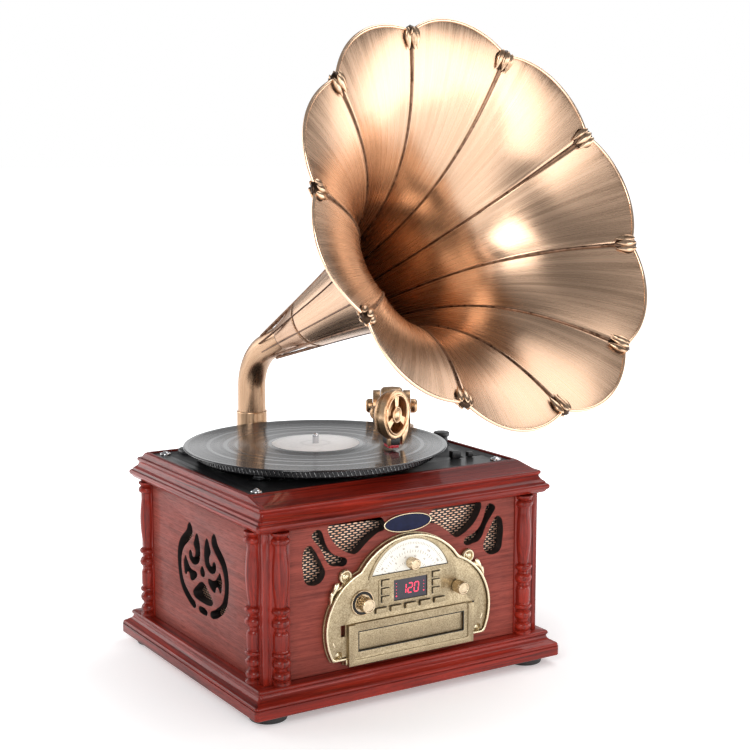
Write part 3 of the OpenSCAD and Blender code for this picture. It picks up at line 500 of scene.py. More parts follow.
# ---- Lid ----
# A hardwood frame mitred like the plinth: a bullnose at its widest, a cove, a bead, then a wide
# sloped apron up to a thin raised rim round the sunk deck.
deck_low, deck_high = (-170, -119), (166, 137)
lid_outer = ([(2, panel_top), (3, 198.6)] + arc((3, 206), 7, -86, -50, 5)
             + arc((7.5, 206), 3.5, -70, 80) + [(7.5, 210.5)] + arc((12, 221), 10.5, -118, -165, 8)
             + arc((1.5, 222), 2.2, -40, 80, 7) + [(0, 224)])
lid_inner = [(5, 230.9), (4, 231.1), (3.2, 231.8), (2.2, 232), (0.8, 232), (0, 231.5), (0, 226),
             (-8, 226), (-8, panel_top)]
piece("lid_moulding", mitred([(body_low, body_high, *p) for p in lid_outer]
                             + [(deck_low, deck_high, *p) for p in lid_inner]),
      "cabinet", grain_x, ["lid_frame"], sharp=25).data.materials.append(grain_y)

# ---- Deck ----
# A black lacquered plate sunk in the lid, held by four chromed cross-head screws in cup
# washers. The spindle's brass bush and the motor hang below it.
deck_black = finish("black_lacquer", (0.012, 0.012, 0.013), rough=0.36, specular_ior_level=0.35)
dust = cloud(deck_black, spot(deck_black), 1400, 2, 0.7)
feed(deck_black, "Roughness", shades(deck_black, dust, (0.3, 0.3), (0.75, 0.42)))
eased_copy("deck_plate", 0.3, deck_black, "deck")
chrome = finish("chrome", (0.6, 0.6, 0.62), 1.0, 0.1)
mottle(chrome, "Roughness", (0.3, 0.06), (0.8, 0.2), 60, 4)
eased_copy("deck_screws", 0.15, chrome, "cup_screws", 1)
bush_brass = finish("turned_brass", (0.62, 0.44, 0.2), 1.0, 0.3)
lathe_lines = cloud(bush_brass, spot(bush_brass, (1, 1, 30)), 60)
feed(bush_brass, "Roughness", shades(bush_brass, lathe_lines, (0.3, 0.2), (0.7, 0.4)))
dress(bush_brass, "spindle_bush")
steel = finish("plated_steel", (0.16, 0.165, 0.17), 1.0, 0.4)
mottle(steel, "Roughness", (0.3, 0.28), (0.7, 0.45), 90)
dress(steel, "motor", "cd_drive")
eased_copy("motor_pulley", 0.1, steel, "belt_pulley", 1)

# ---- Platter and mat ----
# A cast platter with a milled edge: fine upright ribs, lacquered black, with bright tips. A
# thin rubber mat lies on it.
vinyl_at = at(-19, 11, 0)
platter_z = 241
platter_line = [(3.9, -3), (104, -3), (104, -8.4), (104.6, -8.6), (109.6, -8.6), (110, -8.2),
                (110, -3), (136, -4.5), (137.4, -4.2), (138.2, -3), (138.2, 3.2), (137.2, 4.2),
                (136.4, 4.2), (134, 2), (3.9, 2)]
platter_paint = finish("platter_lacquer", (0.02, 0.02, 0.022), 0.6, 0.3)
mottle(platter_paint, "Roughness", (0.3, 0.22), (0.7, 0.42), 300)
piece("platter_casting", turned([(r, z + platter_z) for r, z in platter_line], steps=128,
                                closed=True),
      "platter", platter_paint, ["platter"], vinyl_at)
rib = bmesh.new()
bmesh.ops.create_cone(rib, cap_ends=True, segments=6, radius1=0.9, radius2=0.9, depth=6.0)
rib.transform(at(138.1, 0, 241.1) @ turn(24, "X"))
rib_mesh = bpy.data.meshes.new("rib")
rib.to_mesh(rib_mesh)
rib.free()
ribs = bmesh.new()
rib_count = 180
for _ in range(rib_count):
    rib_mesh.transform(turn(360 / rib_count))
    ribs.from_mesh(rib_mesh)
edge_chrome = finish("rib_tips", (0.35, 0.35, 0.36), 1.0, 0.22)
mottle(edge_chrome, "Base Color", (0.4, 0.03), (0.65, 0.22), 500)
piece("platter_ribs", ribs, "platter", edge_chrome, place=vinyl_at)
mat_rubber = finish("mat_rubber", (0.025, 0.025, 0.025), rough=0.75)
relief(mat_rubber, cloud(mat_rubber, spot(mat_rubber), 600, 2), 0.0002, 0.5)
eased_copy("slip_mat", 0.3, mat_rubber, "rubber_mat", 1)

# ---- Record, label and spindle ----
# A pressed black vinyl disc with a raised rim, fine grooves in bands with smooth gaps between
# the tracks, and a plain paper label. The polished spindle stands through its hole.
record_line = ([(3.9, 0), (150.2, 0)] + arc((150, 0.9), 0.9, -70, 70, 4)
               + [(149, 1.9), (146, 1.5), (57, 1.5), (51, 1.9), (3.9, 1.9)])
record_z, label_z = 246.2, 248.05
record_bm = turned([(r, z + record_z) for r, z in record_line], steps=160, closed=True)
groove_map = record_bm.loops.layers.uv.new("UVMap")
for face in record_bm.faces:
    middle = math.atan2(face.calc_center_median().y, face.calc_center_median().x)
    for corner in face.loops:
        way = math.atan2(corner.vert.co.y, corner.vert.co.x)
        way = middle + (way - middle + math.pi) % math.tau - math.pi
        corner[groove_map].uv = (way / math.tau, corner.vert.co.xy.length / 100)
vinyl = finish("pressed_vinyl", (0.008, 0.008, 0.009), rough=0.24, anisotropic=0.9,
               anisotropic_rotation=0.25, specular_ior_level=0.7, coat_weight=0.2,
               coat_roughness=0.03)
groove = node(vinyl, "UVMap", uv_map="UVMap").outputs["UV"]
across = node(vinyl, "Mapping", {"Vector": groove, "Scale": (0.0, 1.0, 0.0)}).outputs["Vector"]
fine_lines = cloud(vinyl, across, 260, 2, 0.8)
tracks = cloud(vinyl, across, 16, 1, 0.4)
feed(vinyl, "Roughness", shades(vinyl, tracks, (0.40, 0.14), (0.46, 0.24), (0.7, 0.28)))
relief(vinyl, fine_lines, 0.00006, 0.12)
feed(vinyl, "Tangent", node(vinyl, "Tangent", direction_type="UV_MAP",
                            uv_map="UVMap").outputs["Tangent"])
piece("vinyl_record", record_bm, "platter", vinyl, ["record"], vinyl_at, tidy=False)
paper = finish("label_paper", (0.9, 0.9, 0.89), rough=0.4)
spindle = (home @ vinyl_at).translation / 1000
from_spindle = node(paper, "VectorMath", {0: spot(paper, place=-spindle), 1: (1, 1, 0)},
                    operation="MULTIPLY")
reach = node(paper, "VectorMath", {0: from_spindle.outputs["Vector"]}, operation="LENGTH")
rings = shades(paper, reach.outputs["Value"], (0.0, 1.0), (0.0150, 1.0), (0.0153, 0.55),
               (0.0158, 1.0), (0.0468, 1.0), (0.0472, 0.5), (0.0478, 1.0))
feed(paper, "Base Color", blended(paper, "MULTIPLY", 1.0, shades(
    paper, cloud(paper, spot(paper), 260), (0.3, 0.84), (0.7, 0.95)), rings))
label_line = [(3.9, 0), (49.6, 0), (50, 0.15), (49.6, 0.32), (3.9, 0.32)]
piece("paper_label", turned([(r, z + label_z) for r, z in label_line], steps=96, closed=True),
      "platter", paper, place=vinyl_at)
pin_line = ([(0, 203), (2.6, 203), (3, 204), (3, 238), (6, 238), (6, 241), (3.76, 241),
             (3.76, 248.1), (3.57, 248.1), (3.57, 256)] + arc((2.1, 257.6), 1.5, 10, 60, 4)
            + [(1.2, 259.7), (0, 260)])
piece("spindle_pin", turned(pin_line, steps=32), "platter", chrome, ["spindle"],
      vinyl_at)

# ---- Deck controls and adapter ----
# A black flanged speed knob, a square stop switch and a pitch slider in its slot, and the
# domed adapter for small records in the corner. All are moulded plastic.
plastic = finish("black_plastic", (0.018, 0.018, 0.02), rough=0.38)
grit = cloud(plastic, spot(plastic), 1500, 2)
feed(plastic, "Roughness", shades(plastic, grit, (0.3, 0.3), (0.7, 0.48)))
relief(plastic, grit, 0.00008, 0.5)
eased_copy("adapter_45", 0.2, plastic, "record_adapter")
eased_copy("speed_knob", 0.4, plastic, "speed_knob_moulding")
eased_copy("stop_switch", 0.5, plastic, "stop_button")
eased_copy("pitch_slider", 0.5, plastic, "pitch_button")

# ---- Arm ----
# A cast and turned arm in brushed bronze lacquer: a round foot and a yoke on the deck, a drum
# on trunnions between the yoke's ears, and a tube to the sound box.
bronze = finish("brushed_bronze", (0.52, 0.33, 0.19), 1.0, 0.3)
brushed = cloud(bronze, spot(bronze, (900, 900, 40)), 1.0, 3, 0.6)
feed(bronze, "Base Color", shades(bronze, brushed, (0.3, (0.36, 0.21, 0.11)),
                                  (0.7, (0.60, 0.39, 0.23))))
feed(bronze, "Roughness", shades(bronze, brushed, (0.3, 0.22), (0.7, 0.42)))
relief(bronze, brushed, 0.00006, 0.3)
eased_copy("arm_base", 0.3, bronze, "arm_foot")
eased_copy("arm_yoke", 0.7, bronze, "arm_yoke_casting", 3)
arm_at = at(147, 108) @ turn(-122.5)
drum_line = ([(0, -14)] + arc((18.5, -8.5), 5.5, -90, 0, 5) + [(24.4, 0)]
             + arc((18.5, 8.5), 5.5, 0, 90, 5) + [(0, 14)])
across_arm = arm_at @ at(0, 0, 262) @ turn(90, "X")
arm_parts = [(turned(drum_line, steps=64), across_arm),
             (turned([(0, -25.4), (3.95, -25.4), (3.95, 25.4), (0, 25.4)], steps=24), across_arm)]
button_line = ([(0, 24), (8.6, 24), (9, 24.5), (9, 28)] + arc((4.5, 28), 4.5, 0, 90, 5)
               + [(0, 32.5)])
for flip in (0, 180):
    arm_parts.append((turned(button_line, steps=36), across_arm @ turn(flip, "X")))
tube_from, tube_to = Vector((10, 0, 266)), Vector((194.7, -17.1, 287.5))
run = tube_to - tube_from
tube = turned([(0, 0), (9, 0), (7.6, run.length * 0.4), (7.4, run.length), (0, run.length)],
              steps=32)
along_tube = run.to_track_quat("Z", "Y").to_matrix().to_4x4()
arm_parts.append((tube, arm_at @ at(*tube_from) @ along_tube))
ball = bmesh.new()
bmesh.ops.create_uvsphere(ball, u_segments=32, v_segments=16, radius=8.5)
arm_parts.append((ball, arm_at @ at(*tube_to)))
facing = turn(59) @ turn(90, "Y")
arm_parts.append((turned([(0, 0), (6, 0), (6, 8), (0, 8)], steps=24),
                  arm_at @ at(*tube_to) @ facing))
piece("arm_drum_and_tube", gathered(arm_parts), "arm", bronze, ["arm_tube"])

# ---- Sound box ----
# A shallow cup with a heavy bright ring of three spokes round a hub, like an old diaphragm
# box. The pick-up hangs under it with a red stylus guard.
gold = finish("gilt_bronze", (0.74, 0.48, 0.28), 1.0, 0.3)
wear = cloud(gold, spot(gold), 220, 4, 0.6)
feed(gold, "Base Color", shades(gold, wear, (0.3, (0.62, 0.38, 0.21)),
                                (0.6, (0.82, 0.56, 0.35))))
feed(gold, "Roughness", shades(gold, wear, (0.3, 0.4), (0.7, 0.26)))
eased_copy("soundbox_cup", 0.4, bronze, "sound_cup")
disc_at = arm_at @ at(205, 0, 287.5) @ facing @ turn(90)
ring_line = ([(20.6, 2), (26, 2), (26, -1), (28, -1), (28, 5)] + arc((26.6, 5.4), 1.4, 0, 90, 4)
             + [(25.6, 6.2), (23.6, 6.2)] + arc((22, 6.2), 1.4, 0, 180, 6))
hub_line = ([(0, 2), (7.6, 2), (9.4, 3), (9.4, 5.8)] + arc((8.4, 6.2), 1.0, 0, 120, 4)
            + [(6.6, 6.4)] + arc((0, -3), 11.6, 56, 90, 6))
face_parts = [(turned(ring_line, steps=72, closed=True), Matrix()), (turned(hub_line), Matrix())]
for way in (90, 210, 330):
    spoke = bmesh.new()
    bmesh.ops.create_cube(spoke, size=1)
    for v in spoke.verts:
        v.co.y *= 1 + 0.5 * v.co.x
    face_parts.append((spoke, turn(way) @ at(15, 0, 4.3) @ Matrix.Diagonal((14, 7.6, 3.2, 1))))
tail = (arc((0, 0), 25.5, -62, -12, 6) + arc((-1, -12), 28.5, 0, -44, 6)
        + [(16, -36), (13, -36), (14, -30)])
face_parts.append((sawn("tail", tail, [], 3.6), at(0, 0, 3.8)))
face_parts.append((turned([(0, 0), (2.4, 0), (2.4, 7), (1.2, 9), (0, 9)], steps=20),
                   at(-9, -26, 1) @ turn(90, "X")))
piece("sound_ring", gathered(face_parts), "arm", gold, ["soundbox_ring"], disc_at)
shell = finish("pick_up_shell", (0.012, 0.012, 0.013), rough=0.3)
relief(shell, cloud(shell, spot(shell), 1200, 2), 0.00006, 0.4)
eased_copy("cartridge", 0.6, shell, "pick_up", 3)
red = finish("red_guard", (0.55, 0.015, 0.03), rough=0.25, coat_weight=0.4, coat_roughness=0.08)
mottle(red, "Base Color", (0.3, (0.42, 0.01, 0.02)), (0.7, (0.62, 0.02, 0.04)), 400)
eased_copy("stylus", 0.5, red, "stylus_guard", 3)

# ---- Horn bracket ----
# A bronzed bracket screwed to the cabinet's back: a plate, an arm and the upright sleeve that
# the elbow turns in.
upright = finish("brushed_sleeve", (0.5, 0.33, 0.2), 1.0, 0.3)
long_brush = cloud(upright, spot(upright, (1200, 1200, 12)), 1.0, 3, 0.6)
feed(upright, "Base Color", shades(upright, long_brush, (0.3, (0.34, 0.2, 0.11)),
                                   (0.7, (0.62, 0.42, 0.27))))
feed(upright, "Roughness", shades(upright, long_brush, (0.3, 0.24), (0.7, 0.42)))
relief(upright, long_brush, 0.00006, 0.3)
eased_copy("horn_bracket", 0.8, upright, "rear_bracket", 3)

# ---- Elbow and joint ring ----
# A drawn tube that tapers as it bends forward, brushed along its length, with a black collar
# where the horn's cone pushes on.
horn_turn, horn_lean = 7.5, 66
horn_place = at(-6.35, 148.7, 342.8) @ turn(horn_turn) @ turn(horn_lean, "X")


def shaped(across, along, shape):
    """A grid of faces carried to shape(u, v), with u and v from 0 to 1 kept as its UV map."""
    bm = bmesh.new()
    bmesh.ops.create_grid(bm, x_segments=across, y_segments=along, size=1)
    kept = bm.loops.layers.uv.new("UVMap")
    for face in bm.faces:
        for corner in face.loops:
            corner[kept].uv = (corner.vert.co.x / 2 + 0.5, corner.vert.co.y / 2 + 0.5)
    for v in bm.verts:
        v.co = shape(v.co.x / 2 + 0.5, v.co.y / 2 + 0.5)
    return bm


def capped(bm):
    """Closes a tube's seam and fills its open ends."""
    bmesh.ops.remove_doubles(bm, verts=bm.verts, dist=0.002)
    bmesh.ops.holes_fill(bm, edges=[e for e in bm.edges if e.is_boundary])
    return bm


def copper(name, lines, light, dark, rough=(0.22, 0.32)):
    """Brushed, lacquered copper whose fine lines run along the piece's own V."""
    stuff = finish(name, light, 1.0, 0.3, anisotropic=0.8)
    laid = node(stuff, "UVMap", uv_map="UVMap").outputs["UV"]
    fine = node(stuff, "Mapping", {"Vector": laid, "Scale": (lines, 2.5, 1)}).outputs["Vector"]
    wide = node(stuff, "Mapping", {"Vector": laid, "Scale": (lines / 9, 1.2, 1)}).outputs["Vector"]
    streaks = cloud(stuff, fine, 1.0, 4, 0.65)
    soft = cloud(stuff, wide, 1.0, 2, 0.5)
    both = node(stuff, "Math", {0: streaks, 1: soft}, operation="ADD").outputs["Value"]
    half = node(stuff, "Math", {0: both, 1: 0.5}, operation="MULTIPLY").outputs["Value"]
    feed(stuff, "Base Color", shades(stuff, half, (0.36, dark), (0.62, light)))
    feed(stuff, "Roughness", shades(stuff, half, (0.35, rough[0]), (0.65, rough[1])))
    feed(stuff, "Tangent", node(stuff, "Tangent", direction_type="UV_MAP",
                                uv_map="UVMap").outputs["Tangent"])
    relief(stuff, streaks, 0.00005, 0.35)
    return stuff


tube_copper = copper("brushed_elbow", 60, (0.56, 0.37, 0.24), (0.36, 0.215, 0.13))


socket = (-11, 184)
straight, bend_r, bend_z, cuff = 28.6, 60, 288, 43
bend = bend_r * math.radians(horn_lean)


def elbow(u, v):
    """Straight up out of the socket, round the bend, and straight again to the collar."""
    up = Vector((0, 0, 1))
    t = math.radians(horn_turn)
    ahead = Vector((math.sin(t), -math.cos(t), 0))
    run = v * (straight + bend + cuff)
    if run < straight:
        centre, fore = Vector((*socket, 259.4 + run)), ahead
    else:
        b = min(run - straight, bend) / bend_r
        centre = (Vector((*socket, bend_z)) + ahead * bend_r * (1 - math.cos(b))
                  + up * bend_r * math.sin(b))
        fore = ahead * math.cos(b) - up * math.sin(b)
        centre += (ahead * math.sin(b) + up * math.cos(b)) * max(0, run - straight - bend)
    radius = 17.2 - 0.7 * v
    side = Vector((math.cos(t), math.sin(t), 0))
    return centre + (side * math.cos(u * math.tau) + fore * math.sin(u * math.tau)) * radius


piece("elbow_tube", capped(shaped(40, 48, elbow)), "horn", tube_copper,
      ["elbow_pipe"])
collar_line = ([(12, 41.6)] + arc((16.6, 42.4), 0.8, -90, 0, 3)
               + arc((16.6, 44), 0.8, 0, 90, 3) + [(12, 44.8)])
piece("joint_collar", turned(collar_line, closed=True), "horn", plastic,
      place=horn_place)
seam_line = [(17, -0.8), (18.7, -0.8), (18.9, -0.3), (18.7, 0.2), (17, 0.2)]
piece("sleeve_lip", turned(seam_line, closed=True), "cabinet", gold,
      place=at(*socket, 259))

# ---- Horn ----
# Ten sheets of brushed copper rolled to a flare and seamed edge to edge. Each bellies out a
# little between its seams, and its outer edge is a round lobe turned back over a wire.
rim_r, rim_at, throat = 208, 418, 100
neck_r, taper = 15, 0.15
flare = rim_r - neck_r - taper * rim_at
seam_ways = [26 + 36 * i for i in range(10)]


def bell_r(s):
    """The flare's radius, s along its axis."""
    return neck_r + taper * s + flare * (s / rim_at) ** 6


def outward(s):
    """The direction out of the flare's back, as (away from the axis, along the axis)."""
    slope = taper + flare * 6 / rim_at * (s / rim_at) ** 5
    length = math.hypot(slope, 1)
    return 1 / length, -slope / length


def lobe_end(degrees):
    """How far along the axis the sheet reaches, at an angle from its middle."""
    t, centre, radius = math.radians(degrees), 120, 100
    edge = centre * math.cos(t) + math.sqrt(radius ** 2 - (centre * math.sin(t)) ** 2)
    low, high = 300.0, 450.0
    for _ in range(40):
        middle = (low + high) / 2
        low, high = (middle, high) if bell_r(middle) < edge else (low, middle)
    return low


def on_sheet(degrees, v):
    """A place on a sheet, v from its throat to its edge: how far it is from the axis, how far
    along it, and the direction out of its back."""
    s = throat + (lobe_end(degrees) - throat) * math.sin(v * math.pi / 2)
    belly = 5.0 * v * v * math.cos(math.radians(5 * degrees))
    away, along = outward(s)
    return bell_r(s) + away * belly, s + along * belly, (away, along)


def round_axis(away, along, degrees):
    t = math.radians(degrees)
    return Vector((away * math.cos(t), away * math.sin(t), along))


horn_copper = copper("brushed_copper", 130, (0.68, 0.455, 0.315), (0.53, 0.345, 0.225))
rim_copper = finish("bright_copper", (0.86, 0.6, 0.42), 1.0, 0.2)
mottle(rim_copper, "Roughness", (0.3, 0.12), (0.7, 0.3), 180, 4)


def facing_axis(bm):
    """Turns a sheet's faces to the horn's axis."""
    bm.normal_update()
    bm.faces.ensure_lookup_table()
    face = bm.faces[len(bm.faces) // 2]
    if face.normal.dot(face.calc_center_median() * Vector((1, 1, 0))) > 0:
        bmesh.ops.reverse_faces(bm, faces=bm.faces)
    return bm


def walled(made, thickness):
    """Gives a sheet its thickness, on the side away from its faces."""
    wall = made.modifiers.new("wall", "SOLIDIFY")
    wall.thickness, wall.offset = thickness, -1


sheet_width, bead_width, wire = 35.9, 35.2, 1.9
sheets, beads = [], []
for seam_way in seam_ways:
    middle = seam_way + 18

    def sheet_shape(u, v):
        degrees = (u - 0.5) * sheet_width
        away, along, _ = on_sheet(degrees, v)
        return round_axis(away, along, middle + degrees)

    def bead_shape(u, v):
        degrees = (v - 0.5) * bead_width
        away, along, (na, nl) = on_sheet(degrees, 1)
        a = u * math.tau
        c, s = wire * math.cos(a), wire * math.sin(a)
        return round_axis(away + na * (0.6 + c) - nl * s, along + nl * (0.6 + c) + na * s,
                          middle + degrees)

    sheets.append((facing_axis(shaped(24, 56, sheet_shape)), Matrix()))
    beads.append((capped(shaped(12, 40, bead_shape)), Matrix()))
horn = piece("horn_petals", gathered(sheets), "horn", horn_copper, ["horn_bell"],
             horn_place, sharp=60, tidy=False)
walled(horn, 0.0013)
piece("rolled_rim", gathered(beads), "horn", rim_copper, place=horn_place)


def cone_shape(u, v):
    """The cone from the collar to a little past the sheets' ends, with a lip over them."""
    s = cuff + (throat + 3 - cuff) * v
    return round_axis(16.9 + (bell_r(throat) - 16.5) * v ** 1.15 + 0.4 * (v > 0.97), s, u * 360)


cone = shaped(60, 24, cone_shape)
bmesh.ops.remove_doubles(cone, verts=cone.verts, dist=0.002)
cone_copper = copper("brushed_cone", 260, (0.60, 0.39, 0.26), (0.40, 0.24, 0.15))
walled(piece("throat_tube", facing_axis(cone), "horn", cone_copper,
             ["throat_cone"], horn_place, tidy=False), 0.0016)

# ---- Horn seams ----
# Where two sheets meet, a folded seam stands up inside and out. It is coloured much darker than the
# sheets: partly its own dark bronze, partly painted shade for the gaps beside it. It widens towards
# the rim.
# Dark bronze, made darker still as painted shade for the gaps beside each seam, in soft patches.
seam_tone_and_shade = finish("seam_darkened_with_shade", (0.16, 0.09, 0.055), 1.0, 0.3)
seam_patches = cloud(seam_tone_and_shade, spot(seam_tone_and_shade), 160, 4)
feed(seam_tone_and_shade, "Base Color", shades(seam_tone_and_shade, seam_patches, (0.3, (0.07, 0.035, 0.02)),
                                     (0.7, (0.30, 0.18, 0.12))))
feed(seam_tone_and_shade, "Roughness", shades(seam_tone_and_shade, seam_patches, (0.3, 0.22), (0.7, 0.45)))
seams = []
for seam_way in seam_ways:
    def seam_shape(u, v):
        s = 8 + (rim_at - 12) * math.sin(v * math.pi / 2)
        away, along = outward(s)
        a = u * math.tau
        side, up = (0.9 + 1.0 * v) * math.cos(a), 1.9 * math.sin(a)
        base = round_axis(bell_r(s) + away * (0.7 + up), s + along * (0.7 + up), seam_way)
        t = math.radians(seam_way)
        return base + Vector((-math.sin(t), math.cos(t), 0)) * side

    seams.append((capped(shaped(10, 60, seam_shape)), Matrix()))
piece("horn_seams", gathered(seams), "horn", seam_tone_and_shade, ["horn_ribs"], horn_place)

# ---- Rim clips ----
# Ten cast bronze clips like seed pods, pointed towards the throat and fluted, pinch the rim where
# two sheets meet. The bronze flutes sit on a near-black shell, painted shade for the grooves
# between them.
# A near-black copy of the clips' bronze: painted shade for the grooves between the flutes.
pod_shade = finish("pod_painted_shade", (0.05, 0.03, 0.02), 1.0, 0.3)
mottle(pod_shade, "Roughness", (0.3, 0.22), (0.7, 0.4), 260)
pod_light = finish("pod_flutes", (0.60, 0.40, 0.26), 1.0, 0.24)
mottle(pod_light, "Base Color", (0.35, (0.34, 0.21, 0.13)), (0.6, (0.66, 0.46, 0.31)), 120)


def pod_line(width, low, high):
    """A seed's outline, blunt at one end and pointed at the other."""
    return [(width * math.sin(math.pi * (i / 14) ** 1.4) ** 0.75, low + (high - low) * i / 14)
            for i in range(15)]


shaded_shells, flutes = [], []
for seam_way in seam_ways:
    clip_at = turn(seam_way) @ at(rim_r - 3, 0, rim_at - 3) @ turn(-26, "Y") @ turn(90, "Y")
    shaded_shells.append((turned(pod_line(11.5, -18, 10), steps=28),
                    clip_at @ Matrix.Diagonal((0.5, 1, 1, 1))))
    for lean in (-52, 0, 52, 128, 180, 232):
        flutes.append((turned(pod_line(4.3, -15.5, 8.5), steps=16),
                       clip_at @ Matrix.Diagonal((0.62, 1, 1, 1)) @ turn(lean) @ at(-7.6)))
piece("rim_pods", gathered(shaded_shells), "horn", pod_shade, ["rim_clips"], horn_place,
      sharp=50)
piece("rim_pod_flutes", gathered(flutes), "horn", pod_light, place=horn_place, sharp=50)

# ---- Faceplate ----
# One casting in antiqued brass: granular sunk fields between polished raised edges, a lobed
# frame with four dome screws, and openings for the dial, display, buttons and tray.
brass = finish("antique_brass", (0.62, 0.50, 0.29), 1.0, 0.4)
grains = cloud(brass, spot(brass), 900, 3, 0.7)
broad = cloud(brass, spot(brass), 45, 3)
tone = shades(brass, grains, (0.34, (0.26, 0.195, 0.11)), (0.5, (0.42, 0.335, 0.21)),
              (0.66, (0.56, 0.46, 0.31)))
feed(brass, "Base Color", blended(brass, "MULTIPLY", 0.6, tone,
                                  shades(brass, broad, (0.3, 0.72), (0.7, 1.0))))
feed(brass, "Roughness", shades(brass, grains, (0.3, 0.5), (0.7, 0.3)))
relief(brass, grains, 0.00018, 0.5)
eased_copy("faceplate", 0.35, brass, "faceplate_casting", 2)
polished = finish("polished_brass", (0.78, 0.67, 0.47), 1.0, 0.24)
mottle(polished, "Roughness", (0.3, 0.18), (0.7, 0.36), 500)
# Black for painted shade in the plate's gaps, and for the volume knob's printed ring.
shade_and_print_black = finish("gap_shade_and_print_black", (0.006, 0.006, 0.006), rough=0.7)
mottle(shade_and_print_black, "Roughness", (0.3, 0.6), (0.7, 0.8), 200)
eased_copy("plate_screws", 0.12, polished, "dome_screws", 1)
plate_face = -158.0


def inside_plate(x, z, inset):
    """Whether a point is inside the plate's outline: an arch, two round sides and a foot."""
    arch = math.hypot(x, z - 99) < 77.5 - inset and z > 98
    sides = math.hypot(abs(x) - 40, z - 82) < 66 - inset and z > 50 + inset
    return arch or sides or (abs(x) < 82.5 - inset and 44.5 + inset < z < 114)


def bead_path(v):
    """A point of the plate's edge, found by coming in from outside."""
    way = v * math.tau - math.pi / 2
    reach = 140.0
    while not inside_plate(reach * math.cos(way), 88 + reach * math.sin(way), 1.9):
        reach -= 0.2
    return Vector((reach * math.cos(way), 0, 88 + reach * math.sin(way)))


bead_steps = 240
rim_path = [bead_path(i / bead_steps) for i in range(bead_steps + 1)]


def plate_bead(u, v):
    i = round(v * bead_steps)
    run = (rim_path[(i + 1) % bead_steps] - rim_path[(i - 1) % bead_steps]).normalized()
    side = Vector((-run.z, 0, run.x))
    a = u * math.tau
    return rim_path[i] + side * 1.35 * math.cos(a) + Vector((0, -159.4 - 1.1 * math.sin(a), 0))


def ring(radius, wire):
    line = [(radius + wire * math.cos(math.tau * i / 10), wire * math.sin(math.tau * i / 10))
            for i in range(10)]
    return turned(line, steps=40, closed=True)


def slab(x, y, z, width, height):
    """A thin black strip of painted shade in a gap, and its place."""
    bm = bmesh.new()
    bmesh.ops.create_cube(bm, size=1)
    return bm, at(x, y, z) @ Matrix.Diagonal((width, 0.3, height, 1))


def leaf_drop(x, z, lean, width, long):
    """A raised scroll leaf, wide at its foot, and its place."""
    bm = bmesh.new()
    bmesh.ops.create_uvsphere(bm, u_segments=20, v_segments=12, radius=1)
    for v in bm.verts:
        v.co.x *= 0.55 - 0.45 * v.co.z
    return bm, at(x, plate_face + 2.2, z) @ turn(lean, "Y") @ Matrix.Diagonal((width, 2.4, long, 1))


trim = [(shaped(10, bead_steps, plate_bead), Matrix())]
for x, z, radius in ((78.5, 139.5, 7.5), (89.5, 56.5, 6.8)):
    for side in (-1, 1):
        trim.append((ring(radius - 1.3, 1.2), at(side * x, -155, z) @ turn(90, "X")))
for side in (-1, 1):
    trim.append(leaf_drop(side * 92.5, 127, side * 150, 4.6, 9.0))
    trim.append(leaf_drop(side * 97, 119, side * 168, 3.2, 7.5))
    trim.append(leaf_drop(side * 95, 69, side * 20, 3.6, 8.5))
    trim.append(leaf_drop(side * 88, 128.5, side * 120, 2.6, 6.5))
piece("plate_trim", gathered(trim), "cabinet", polished)
# Black strips of painted shade in the plate's gaps: round the drawer, behind the buttons and in two
# more places.
tray_z, tray_half, tray_end, tray_face = 69.5, 10.7, 67.4, -162.6
gaps = [slab(0, tray_face, tray_z + tray_half, 135.8, 1.0),
        slab(0, tray_face, tray_z - tray_half, 135.8, 1.0),
        slab(-tray_end, tray_face, tray_z, 1.0, 21), slab(tray_end, tray_face, tray_z, 1.0, 21),
        slab(0, -158.05, 136.2, 106, 0.9), slab(83, -158.1, 86.5, 3.4, 3.4)]
for i in range(3):
    gaps += [slab(side * 32.5, -159.15, 127.2 - 8.9 * i, 10.6, 7.4) for side in (-1, 1)]
gaps += [slab(18.7 * i, plate_face, 97.8, 15.0, 6.4) for i in range(-2, 3)]
piece("plate_gaps", gathered(gaps), "cabinet", shade_and_print_black)

# ---- Dial ----
# An off-white plastic dial under the arch, with printed scale marks and plain numbers.
ivory = finish("dial_ivory", (0.86, 0.84, 0.76), rough=0.3, coat_weight=0.3)
mottle(ivory, "Base Color", (0.3, (0.8, 0.78, 0.7)), (0.7, (0.88, 0.86, 0.79)), 30)
dress(ivory, "dial_scale")
ink = finish("dial_ink", (0.25, 0.14, 0.09), rough=0.6)
mottle(ink, "Base Color", (0.3, (0.16, 0.1, 0.07)), (0.7, (0.34, 0.24, 0.17)), 300)
dial_z, ink_face = 118.5, plate_face + 0.12
marks = []
for radius, count, long, wide in ((47, 49, 2.0, 0.35), (38, 25, 2.6, 0.4), (27, 25, 1.6, 0.3)):
    for i in range(count):
        a = 28 + 124 * i / (count - 1)
        mark = bmesh.new()
        bmesh.ops.create_cube(mark, size=1)
        length = long * (1.6 if i % 4 == 0 else 1)
        marks.append((mark, at(0, ink_face, dial_z) @ turn(-a, "Y") @ at(radius, 0, 0)
                      @ Matrix.Diagonal((length, 0.1, wide, 1))))
piece("dial_marks", gathered(marks), "cabinet", ink)


def printed(words):
    """Plain generic figures, as thin shapes."""
    type_line = bpy.data.curves.new("figure", "FONT")
    type_line.body, type_line.size, type_line.extrude = words, 3.0, 0.06
    type_line.align_x, type_line.align_y = "CENTER", "CENTER"
    holder = bpy.data.objects.new("figure", type_line)
    scene.collection.objects.link(holder)
    flat = bpy.data.meshes.new_from_object(
        holder.evaluated_get(bpy.context.evaluated_depsgraph_get()))
    bpy.data.objects.remove(holder)
    bm = bmesh.new()
    bm.from_mesh(flat)
    bpy.data.meshes.remove(flat)
    return bm


